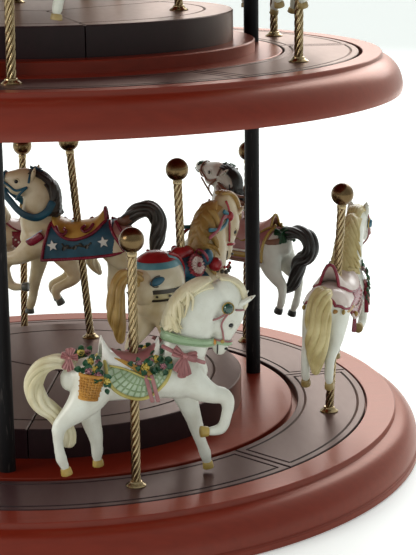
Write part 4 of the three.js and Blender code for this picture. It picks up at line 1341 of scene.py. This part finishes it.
def dress_proud(model, head):
    """Yellow saddle with a crimson rim, starred blue blanket, crimson breast strap and teal reins."""
    ridge = [(-18.5, 77.4), (-16.5, 74.6), (-12.5, 71.2), (-6, 69.3), (3, 69.1), (9, 70.6), (13.4, 74.6),
             (16, 79)]
    angles = [(-18.5, 12), (-14, 46), (-8, 64), (0, 73), (7, 66), (12.5, 42), (16, 12)]
    saddle(model, "saddle_yellow", ridge, angles, -18.5, 16, 2.6, 2.0, rim=("crimson", 1.1))
    saddle(model, "blue_cloth", back_line(-24, 15, 1.2), [(-24, 84), (15, 84)], -24, 15, 1.1, 1.2)
    low = [(-30, 51), (-20, 49.6), (-5, 48.6), (10, 48.2), (22, 48)]
    high = [(-30, 66.5), (-15, 67), (5, 67), (22, 68.5)]
    front = [(14.6, 73.5), (16.5, 66), (19.5, 57), (22, 48)]
    rear = [(-21.5, 69), (-24.5, 63), (-28, 56.4), (-30, 51)]
    for side in (-1, 1):
        model.add("blue_cloth", flank_cloth(side, low, high, -30, 22, 1.2, lean=(8, -7)))
        for line in (low, front, rear):
            model.add("crimson", flank_braid(side, line, 1.4, 1.0))
        for x, z in ((13.6, 57.4), (-18.6, 58.4)):
            model.add("white_gloss", star(flank(x, z, 2.2, side), (0, side, 0.05), (0.1, 0, 1), 3.6))
        for line in ([(11, 68.4), (9, 65.2), (6, 64.2), (4.4, 65.8), (5.8, 67.2)],
                     [(-12, 68.6), (-10, 66.2), (-7.2, 65.2), (-5.4, 66.8), (-7, 68)]):
            model.add("crimson", flank_braid(side, line, 3.7, 1.0))
        scroll = [(-10.5, 58), (-7, 55.8), (-2.5, 56.8), (2, 55.2), (5.5, 55.8), (7.6, 58)]
        model.add("black_cloth", flank_braid(side, scroll, 1.3, 0.6))
        for x, z, rise in ((-8.6, 57, -1), (-5, 56, 1), (-1, 56.8, -1), (3.4, 55.2, 1), (6, 56.4, -1)):
            model.add("black_cloth", leaf(flank(x, z, 1.4, side), (0, side, 0), (0.7, 0, rise), 3.0))
        breast = [(20.5, 63.6), (25.5, 60.6), (29.5, 58.4), (32.2, 57.2), (34.2, 56.8)]
        model.add("crimson", flank_strap(side, breast, 1.4, 2.5, 0.9))
        model.add("pale_blue", flank_strap(side, [(x, z + 2.7) for x, z in breast], 1.4, 0.5, 0.7))
        reins = [(45, side * 4.6, 92.4), (42, side * 6, 88.4), (38, side * 7.4, 83.6), (34, side * 9, 79.2),
                 (29, side * 10.2, 76), (22.5, side * 10.4, 74.6), (16, side * 9.4, 77.6),
                 (12.5, side * 7, 83)]
        model.add("teal", strap(reins, [(0.15, side, -0.1)] * len(reins), 2.4, 1.0))
        model.add("pink_cloth",
                  flank_cloth(side, [(-33, 60.5), (-24, 55)], [(-33, 65), (-24, 69)], -33, -24, 0.8))
        model.add("crimson", flank_strap(side, [(-25, 68.6), (-29, 64), (-32.5, 60.4)], 1.3, 1.1))
    model.add("leather", girdle((-30.5, 0, 68.5), 24, 5.4, 5, 2.6, 0.7))
    model.add("teal", *bow(head.at(2.2, 11.4), head.way(-0.2, 1), (0, 1, 0), 4.2))
    bridle(model, head, "teal", 0.75)


def dress_stepping(model, head):
    """White saddle and croup cloth with crimson rims, beaded crimson drape, leaves and tassels."""
    ridge = [(-19, 80.5), (-16.5, 76.5), (-12, 71.8), (-5, 69.3), (3, 69.1), (8, 70.2), (11.5, 73),
             (13.5, 77)]
    saddle(model, "pink_white", ridge, [(-19, 24), (-12, 50), (0, 60), (8, 50), (13.5, 22)], -19, 13.5,
           2.2, 2.2, rim=("crimson", 0.9))
    saddle(model, "pink_white", back_line(-31.5, -9, 1.1), [(-31.5, 64), (-25, 84), (-9, 74)], -31.5, -9,
           1.1, 1.3, rim=("crimson", 0.9))
    low = [(-15, 52.5), (-10, 49.5), (-3, 48.6), (4, 50), (9, 54)]
    for side in (-1, 1):
        model.add("crimson", flank_cloth(side, low, [(-15, 62), (9, 63)], -15, 9, 0.9, rows=16))
        model.add("pink_white", beads([flank(x, z - 0.6, 1.3, side) for x, z in spline(low, 6)], 0.85, 1.8))
        model.add("pink_white", beads([flank(x, z + 5.5, 1.2, side) for x, z in spline(low, 6)], 0.7, 2.6))
        model.add("mustard", flank_strap(side, [(-32.5, 57.5), (-26, 56.4), (-18, 56), (-12, 57)], 0.8, 1.2))
        model.add("antique_gold", lump(flank(-29.5, 57, 1.6, side), (1.5, 1.0, 1.5), sides=10))
        tassel = flank(-9, 51, 1.6, side)
        model.add("crimson", pleated(tassel, (0, side, 0), (0.1, 0, -1), 11, 0.9, 2.2, 3, 0.5, 1.0))
        model.add("antique_gold", lump(tassel, (1.6, 1.4, 1.6), sides=10))
        drape = flank(23, 62, 1.2, side)
        model.add("crimson", pleated(drape, (0.2, side, 0.1), (0, 0, -1), 19, 1.8, 4.6, 4, 0.7, 1.0))
        model.add("pink_cloth",
                  pleated(drape + np.array((1.5, side * 0.9, -2)), (0.2, side, 0.1), (0.25, 0, -1), 14,
                                        1.0, 2.4, 2, 0.5, 0.8))
        spots = [(31, 68.5, None, 1.9), (28.5, 65.5, "rose_pink", 1.5), (26, 69.5, None, 2.0),
                 (24, 64.6, None, 2.0), (27, 61.6, "rose_yellow", 1.4), (22.4, 60, None, 1.9),
                 (20.4, 56.2, None, 1.9), (19.4, 52.4, None, 1.7), (31, 64.4, "rose_pink", 1.4),
                 (22, 68.5, "rose_pink", 1.6)]
        spray(model, [(flank(x, z, 1.6, side), (0.15, side, 0.3), rose_finish, size)
                      for x, z, rose_finish, size in spots], 80)
        breast = [(19, 62.5), (25, 59.7), (30, 58), (34, 57.4)]
        model.add("mauve", flank_strap(side, breast, 0.9, 1.2))
    bridle(model, head, "mauve", 0.5, "blue_gem")
    model.add("white_gloss", *bow(head.at(4, 10.6), head.way(0, 1), (0, 1, 0), 3.6))


BARREL_X, BARREL_Z = -21.5, 68.5
BARREL_HEIGHT = 17.0
BARREL_LONG, BARREL_WIDE = 15.5, 15


def barrel_swell(h):
    """Share of its full girth that the barrel has at a height from its middle."""
    return math.sqrt(1 - (h / BARREL_HEIGHT) ** 2)


def on_barrel(side, angle, h):
    """Point just outside the barrel, at an angle from straight ahead."""
    a, lift = math.radians(angle), 0.3
    return np.array((BARREL_X + math.cos(a) * (BARREL_LONG * barrel_swell(h) + lift),
                     side * math.sin(a) * (BARREL_WIDE * barrel_swell(h) + lift), BARREL_Z + h))


def dress_nodding(model, head):
    """Round barrel-like saddle in painted hoops, pleated rosette, reins of red and blue and red balls."""
    hoops = [(-8.2, -6.9, "black_cloth", 0.5), (-7, -3.4, "cream_cloth", 0),
             (-3.6, -1.4, "black_cloth", 0.7), (-1.6, 9.4, "cream_white", 0), (9.2, 12.6, "pale_teal", 0.25),
             (12.4, 16.6, "red_paint", 0.6)]
    for low, high, finish, lift in hoops:
        rows = []
        for h in np.linspace(low, high, 7):
            rows.append((BARREL_X, 0, BARREL_Z + h, BARREL_LONG * barrel_swell(h) + lift,
                         BARREL_WIDE * barrel_swell(h) + lift))
        model.add(finish, tube(rows, sides=40, steps=1, across=(1, 0, 0), domed=False))
    for side in (-1, 1):
        patch = on_barrel(side, 138, 3.4)
        model.add("teal", lump(patch, (4.6, 0.9, 2.3), (0, -12, side * 28), 16))
        outline = [patch + np.array((5.2 * math.cos(a), side * 0.2, 2.9 * math.sin(a)))
                   for a in np.linspace(0, 2 * math.pi, 21)]
        model.add("black_cloth", cord(outline, 0.35, 6))
        for angle in (140, 112, 84, 56):
            model.add("black_cloth",
                      lump(on_barrel(side, angle, -5.2), (2.4, 0.6, 0.7), (0, 10, side * (90 - angle)), 10))
        reach = [on_barrel(side, angle, h)
                 for angle, h in ((80, 14.6), (48, 11.5), (28, 5), (22, -2), (24, -6))]
        outs = [p - np.array((BARREL_X, 0, BARREL_Z)) for p in reach]
        model.add("red_paint", strap([p + np.array((1.3, 0, 1)) for p in reach], outs, 0.9, 0.9))
        model.add("pale_teal", strap(reach, outs, 1.6, 0.7))
        model.add("teal",
                  flank_cloth(side, [(-6, 59), (12, 58)], [(-6, 69), (12, 70)], -6, 12, 1.0, rows=12))
        root = np.array((0.5, side * 10.6, 74))
        for turn in range(-150, 180, 60):
            a = math.radians(turn)
            away = np.array((math.sin(a), 0, -math.cos(a)))
            model.add("red_pink", pleated(root, (0, side, 0.3), away, 6.2, 1.0, 3.4, 3, 0.7, 0.9))
            model.add("pink_white", pleated(root + np.array((0, side * 0.9, 0.3)), (0, side, 0.3), away, 4.6,
                                            0.8, 2.6, 3, 0.6, 0.8))
        model.add("red_pink", lump(root + np.array((0, side * 1.8, 0.5)), (1.5, 1.2, 1.5), sides=10))
        model.add("teal", lump((11, side * 9.4, 76.4), (4.2, 3, 4.6), (0, 30, 0), 14))
        model.add("crimson", girdle((7.6, side * 8.6, 77.4), 60, 4.8, 3.4, 0.9, 0.6))
        model.add("red_paint", lump((16, side * 11, 71.4), (4, 4, 4), sides=16))
        chain = [flank(x, z, 2.6, side)
                 for x, z in spline([(18, 67.6), (22, 66), (26, 65.4), (30, 66.6)], 6)]
        model.add("black_cloth", beads(chain, 1.25, 2.7))
        model.add("red_paint", beads([p + np.array((0, side * 0.3, 2.7)) for p in chain], 0.9, 2.2))
        model.add("red_paint", lump((35.6, side * 7, 94.6), (3, 2.6, 3), sides=16))
        lines = [("teal_bright",
                  [(13.6, 9.8, 91), (19, 9.6, 90), (24.5, 9.2, 89.6), (30, 8.4, 91), (34.4, 7.4, 94)], 1.1),
                 ("teal_bright", [(30, 7.6, 98.4), (32, 7.8, 97), (34.6, 7.6, 95.4)], 1.3),
                 ("red_pink", [(13.4, 9.9, 86.6), (18, 9.9, 88.4), (23, 9.6, 90.6), (27.6, 8.8, 95),
                               (34.6, 7.4, 95)], 1.2),
                 ("red_paint", [(35.8, 7, 94), (36.2, 6.4, 87), (36.6, 5.6, 80)], 0.8),
                 ("red_paint", [(35.6, 7, 95), (35.4, 7, 99), (34.6, 6, 103)], 0.8)]
        for finish, points, half in lines:
            model.add(finish, strap([(x, side * y, z) for x, y, z in points], [(0, side, 0)] * len(points),
                                    half, 0.6))
    model.add("warm_coat", lump((-32, 0, 68), (8.5, 9, 11), (0, 12, 0), 24))
    model.add("red_paint", nose_band(head, 19.5, 0.4, 0.8), lump((1, 0, 79.6), (8, 6, 4.4), sides=18))
    model.add("blue_cloth", lump((3.5, 0, 72.5), (13.5, 11, 7.6), sides=20))


def dress_tossing(model, head):
    """Pink saddle and lavender blanket with gold hems, brown straps and a green bow on the tail."""
    ridge = [(-24, 77), (-20, 73), (-12, 69.8), (-3, 69.2), (3, 71), (7, 75.5), (8.5, 79)]
    angles = [(-24, 18), (-16, 58), (-6, 74), (2, 60), (8.5, 16)]
    saddle(model, "pink_cloth", ridge, angles, -24, 8.5, 2.4, 2.2, scallops=5, rim=("antique_gold", 0.8))
    saddle(model, "mauve", back_line(-27, 10, 1.1), [(-27, 84), (10, 84)], -27, 10, 1.0, 1.2)
    low, high = [(-24, 47.4), (-10, 46), (4, 45.6), (12, 46.6)], [(-24, 67), (12, 68)]
    for side in (-1, 1):
        model.add("mauve", flank_cloth(side, low, high, -24, 12, 1.1, lean=(-3, -2)))
        model.add("leather", flank_strap(side, low, 1.5, 1.0, 0.9))
        model.add("antique_gold", flank_strap(side, [(x, z + 3.8) for x, z in low], 1.4, 1.7))
        model.add("white_gloss", flank_strap(side, [(x, z + 6.6) for x, z in low], 1.4, 0.7))
        model.add("antique_gold",
                  flank_braid(side, [(-26.6, 70), (-25.5, 62), (-24.2, 54), (-24, 47.4)], 1.4, 1.0),
                  flank_braid(side, [(10, 70), (11, 60), (12, 46.6)], 1.4, 0.9))
        model.add("leather", flank_strap(side, [(-24, 59.5), (-29, 60.2), (-33, 60.8)], 0.7, 1.9))
        model.add("leather", flank_strap(side, [(11, 62), (20, 59.5), (28, 57.8), (34, 57.6)], 0.8, 1.5))
        jaw = [head.at(20, -3.6, side * 4.2), head.at(13, -8.4, side * 4.4), head.at(8.5, -12.5, side * 3.4)]
        model.add("leather", strap(jaw, [(0, side, 0)] * 3, 0.7))
    model.add("leather", girdle((13.2, 0, 84.5), -24, 12.6, 8.6, 2.4, 0.8),
              girdle((12.4, 0, 88.5), -22, 11.6, 8, 0.9, 1.3))
    model.add("leaf", *bow(head.at(1.5, 11), head.way(-0.2, 1), (0, 1, 0), 3.6),
              girdle((-31.5, 0, 65), 55, 4.8, 4.6, 1.8))
    for side in (-1, 1):
        model.add("leaf", *bow(np.array((-33.5, side * 4.6, 66)), (-0.3, side, 0.2), (0.1, 0, 1), 5.2))
    bridle(model, head, "leather", 0.75)
    model.add("leaf", lump(head.at(24.5, 4.6), (2.6, 3.6, 1.6), (0, head.tilt(), 0)))


DESIGNS = {
    "bowed": dict(dress=dress_bowed, carriage="bowed", tail="curled", hair="cream_hair", coat="cream_coat",
                  hoof="gold_hoof", voxel=1.0,
                  legs=[("fore_raised", -1), ("fore_long", 1), ("hind_back", -1), ("hind_under", 1)],
                  mane=dict(count=10, thick=2.5, drop=0.34, wave=0.17, lift=1.0, reach=1.0, foot=0.48)),
    "nodding": dict(dress=dress_nodding, carriage="nodding", tail="knobbed", hair="tan_hair",
                    coat="warm_coat", hoof="tan_hoof", voxel=1.4,
                    legs=[("fore_folded", -1), ("fore_raised", 1), ("hind_under", -1), ("hind_back", 1)],
                    mane=dict(count=8, thick=3.0, drop=0.34, wave=0.24, lift=1.2, reach=1.35)),
    "stepping": dict(dress=dress_stepping, carriage="level", tail="hanging", hair="straw_hair",
                     coat="cream_coat", hoof="tan_hoof", voxel=1.4,
                     legs=[("fore_raised", -1), ("fore_straight", 1), ("hind_folded", -1),
                           ("hind_folded", 1)]),
    "leaping": dict(dress=dress_stepping, carriage="level", tail="hanging", hair="straw_hair",
                    coat="cream_coat", hoof="tan_hoof", voxel=1.4,
                    legs=[("fore_raised", -1), ("fore_down", 1), ("hind_reach", -1), ("hind_reach", 1)]),
    "tossing": dict(dress=dress_tossing, carriage="raised", tail="looped", hair="black_hair",
                    coat="cream_coat", hoof="dark_hoof", voxel=1.4,
                    legs=[("fore_raised", 1), ("fore_straight", -1), ("hind_folded", 1), ("hind_back", -1)],
                    mane=dict(count=8, thick=2.8, drop=0.5, wave=0.15, lift=1.2, reach=1.3)),
    "proud": dict(dress=dress_proud, carriage="proud", tail="arched", hair="grey_hair", coat="warm_coat",
                  hoof="grey_hoof", voxel=1.2,
                  legs=[("fore_raised", 1), ("fore_straight", -1), ("hind_back", 1), ("hind_under", -1)],
                  mane=dict(count=8, thick=2.8, drop=0.4, wave=0.16, lift=1.0, reach=1.05, foot=0.5)),
    "strolling": dict(dress=dress_stepping, carriage="level", tail="swept", hair="cream_hair",
                      coat="warm_coat", hoof="grey_hoof", voxel=1.4,
                      legs=[("fore_straight", -1), ("fore_raised", 1), ("hind_tucked", 1),
                            ("hind_tucked", -1)]),
}


def new_rod_tree():
    """Geometry Nodes: strands twisted round one another, between the foot and the ball of a rod."""
    tree, sockets, given = new_tree("twisted_rod", {
        "Height": "NodeSocketFloat", "Turns": "NodeSocketFloat", "Strand": "NodeSocketFloat",
        "Metal": "NodeSocketMaterial"})
    spread = add(tree, "ShaderNodeMath", {0: given["Strand"], 1: TWIST_SPREAD}, operation="MULTIPLY")
    offset = spread.outputs[0]
    helix = add(tree, "GeometryNodeCurveSpiral", {
        "Resolution": 24, "Reverse": True, "Rotations": given["Turns"], "Start Radius": offset,
        "End Radius": offset, "Height": given["Height"]})
    circle = add(tree, "GeometryNodeCurvePrimitiveCircle", {"Resolution": 7, "Radius": given["Strand"]})
    strand = add(tree, "GeometryNodeCurveToMesh", {
        "Curve": helix.outputs[0], "Profile Curve": circle.outputs["Curve"], "Fill Caps": True})
    places = add(tree, "GeometryNodePoints", {"Count": TWIST_STRANDS})
    order = add(tree, "GeometryNodeInputIndex").outputs[0]
    angle = add(tree, "ShaderNodeMath", {0: order, 1: 2 * math.pi / TWIST_STRANDS},
                operation="MULTIPLY").outputs[0]
    turn = add(tree, "ShaderNodeCombineXYZ", {"Z": angle}).outputs[0]
    bundle = add(tree, "GeometryNodeInstanceOnPoints", {
        "Points": places.outputs[0], "Instance": strand.outputs[0], "Rotation": turn})
    finish_tree(tree, bundle.outputs[0], given["Metal"])
    return tree, sockets


def rods():
    """Twisted brass rods, each with its bell-shaped foot and its ball."""
    tree, sockets = new_rod_tree()
    foot = [(0, 0), (5.2, 0), (5.25, 0.5), (4.9, 0.9), (3.9, 1.5), (3.3, 2.1), (3.15, 2.6), (2.7, 2.9),
            (0, 2.9)]
    ball = arc((0, 0), (BALL_RADIUS, BALL_RADIUS), -90, 90, 25)[1:-1]
    collar = [(0, -8.4), (2.1, -8.4), (2.6, -7.8), (2.7, -6.6), (2.2, -5.2), (0, -5.2)]
    strand = ROD_RADIUS / (1 + TWIST_SPREAD) * TWIST_PRESS
    for node in sorted(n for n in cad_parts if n.endswith("_rod")):
        low, high = rod_ends(node)
        lean = (high - low).to_track_quat("Z", "Y").to_matrix().to_4x4()
        long = (high - low).length - TWIST_SHORT
        twist = grown("twist", tree, sockets, {
            "Height": long * MM, "Turns": long / TWIST_PITCH, "Strand": strand * MM, "Metal": BRASS})
        twist.transform(Matrix.Translation(low * MM) @ lean @ Matrix.Translation((0, 0, TWIST_FOOT * MM)))
        parts = [turned("rod_foot", foot, BRASS, 36),
                 turned("rod_ball", [(0, -BALL_RADIUS), *ball, (0, BALL_RADIUS)], SHADED_BALL_BRASS, 40),
                 turned("rod_collar", collar, BRASS, 28)]
        parts[0].data.transform(Matrix.Translation(low * MM))
        for part in parts[1:]:
            part.data.transform(Matrix.Translation(high * MM) @ lean)
        hand_over(joined(linked(f"{node}_twisted", twist), parts), "brass", node)


def joined(main, others):
    """Joins other objects into the main one, keeping their material slots."""
    for piece in others:
        with bpy.context.temp_override(active_object=main, selected_editable_objects=[main, piece]):
            bpy.ops.object.join()
    return main


def horses():
    """Builds each design once and puts a copy of it on each rod."""
    meshes = {}
    for node, (design, turn, lift) in RIDERS.items():
        if design not in meshes:
            meshes[design] = build_horse(design)
        low, high = rod_ends(f"{node}_rod")
        heading = math.atan2(low.x, -low.y) + math.radians(turn)
        lean = Vector((0, 0, 1)).rotation_difference(high - low).to_matrix().to_4x4()
        place = Matrix.Translation(low * MM) @ lean @ Matrix.Rotation(heading, 4, "Z")
        middle = Matrix.Translation((0, 0, TRUNK_HEIGHT * MM))
        nose_down = middle @ Matrix.Rotation(math.radians(PITCHES.get(node, 0)), 4, "Y") @ middle.inverted()
        mesh = meshes[design].copy()
        mesh.name = f"{node}_horse_dressed"
        mesh.transform(place @ Matrix.Translation((0, 0, lift * MM)) @ nose_down)
        hand_over(linked(mesh.name, mesh), "painted_resin", f"{node}_horse")


def build_horse(design):
    """Mesh of one design, in the horse's own frame."""
    plan = DESIGNS[design]
    model, head = Model(), Head(plan["carriage"])
    model.add(plan["coat"], skin(plan["carriage"], plan["legs"], plan["voxel"]))
    for leg, side in plan["legs"]:
        model.add(plan["hoof"], hoof(LEGS[leg][1], LEGS[leg][2], side))
    face(model, head, plan["coat"])
    seed = sorted(DESIGNS).index(design) * 10
    mane(model, plan["hair"], plan["carriage"], seed, **plan.get("mane", {}))
    forelock(model, plan["hair"], head, seed + 1)
    tail(model, plan["hair"], plan["tail"], seed + 2)
    plan["dress"](model, head)
    return model.mesh(design)


# Design of each rider, its turn from the straight heading in degrees and its lift above the rod's foot.
# They are those of the solids, but for the turn of lower_outer_2 and the design of lower_outer_4.
RIDERS = {
    "lower_outer_1": ("bowed", 0, 0), "lower_outer_2": ("stepping", -6, 11),
    "lower_outer_3": ("tossing", 0, 12), "lower_outer_4": ("strolling", 0, 8),
    "lower_outer_5": ("nodding", 0, 0), "lower_outer_6": ("stepping", 0, 6),
    "lower_inner_1": ("proud", 0, 7), "lower_inner_2": ("stepping", 0, 6),
    "lower_inner_3": ("nodding", -7, 0),
    "upper_outer_1": ("leaping", 0, 17), "upper_outer_2": ("leaping", 0, 18),
    "upper_outer_3": ("leaping", 0, 4), "upper_outer_4": ("proud", 0, 6),
    "upper_outer_5": ("nodding", 0, 2), "upper_outer_6": ("tossing", 0, 6),
    "upper_inner_1": ("bowed", 0, 4), "upper_inner_2": ("tossing", 0, 4),
    "upper_inner_3": ("stepping", 0, 6)}

# Degrees that a rider is pitched nose down about the middle of its trunk, which its solid leaves out
PITCHES = {"lower_outer_1": 4.6}


def camera():
    """Camera at the place from which the photograph was taken."""
    data = bpy.data.cameras.new("camera")
    data.lens = CAMERA_LENS
    data.sensor_width = 36.0
    made = linked("camera", data)
    yaw = Matrix.Rotation(math.radians(CAMERA_YAW), 3, "Z")
    pitch = Matrix.Rotation(math.radians(90 - CAMERA_PITCH), 3, "X")
    roll = Matrix.Rotation(math.radians(CAMERA_ROLL), 3, "Z")
    turn = yaw @ pitch @ roll
    made.matrix_world = Matrix.Translation(Vector(CAMERA_PLACE) * MM) @ turn.to_4x4()
    bpy.context.scene.camera = made


def lamp(name, place, size, power, tint=(1, 1, 1)):
    """Square soft light aimed at the middle of the lower tier."""
    data = bpy.data.lights.new(name, "AREA")
    data.size = size
    data.energy = power
    data.color = tint
    made = linked(name, data)
    made.location = place
    made.rotation_mode = "QUATERNION"
    made.rotation_quaternion = (Vector(LAMP_AIM) - Vector(place)).to_track_quat("-Z", "Y")


def studio():
    """White room, darker in front, with a big window at the back right and a small one at the left."""
    world = bpy.data.worlds.new("studio")
    bpy.context.scene.world = world
    world.use_nodes = True
    tree = world.node_tree
    tree.nodes.clear()
    way = add(tree, "ShaderNodeTexCoord").outputs["Generated"]
    depth = add(tree, "ShaderNodeSeparateXYZ", {0: way}).outputs["Y"]
    glow = add(tree, "ShaderNodeMapRange", {0: depth, 1: -0.35, 2: 0.3, 3: 0.5, 4: 1.0},
               interpolation_type="SMOOTHSTEP")
    light = add(tree, "ShaderNodeBackground", {"Color": colour("#f1f6f3"), "Strength": glow.outputs[0]})
    add(tree, "ShaderNodeOutputWorld", {"Surface": light.outputs[0]})
    lamp("window", (0.7, 1.5, 1.2), 1.4, 24)
    lamp("left_window", (-1.5, -0.6, 0.9), 0.8, 12, (1, 0.97, 0.92))
    bpy.context.scene.view_settings.view_transform = "Standard"


def floor():
    """Pale floor that glows a little, as the overexposed table in the photograph does."""
    material, tree = new_material("pale_floor")
    place = add(tree, "ShaderNodeTexCoord").outputs["Object"]
    cloud = add(tree, "ShaderNodeTexNoise", {"Vector": place, "Scale": 3.0, "Detail": 2.0})
    tone = add(tree, "ShaderNodeMix", {0: cloud.outputs[0], 6: colour("#f0f2ef"), 7: colour("#f5f7f5")},
               data_type="RGBA")
    surface = add(tree, "ShaderNodeBsdfPrincipled", {
        "Base Color": tone.outputs[2], "Roughness": 0.6, "Emission Color": colour("#f1f7f6"),
        "Emission Strength": 0.3})
    finish_material(tree, surface)
    half = 4.0
    corners = [(-half, -half, 0), (half, -half, 0), (half, half, 0), (-half, half, 0)]
    made = linked("floor", new_mesh("floor", np.array(corners) / MM, [(0, 1, 2, 3)], [material]))


base_board()
upper_board()
top_board()
posts()
rings_and_discs()
rods()
horses()
camera()
studio()
floor()
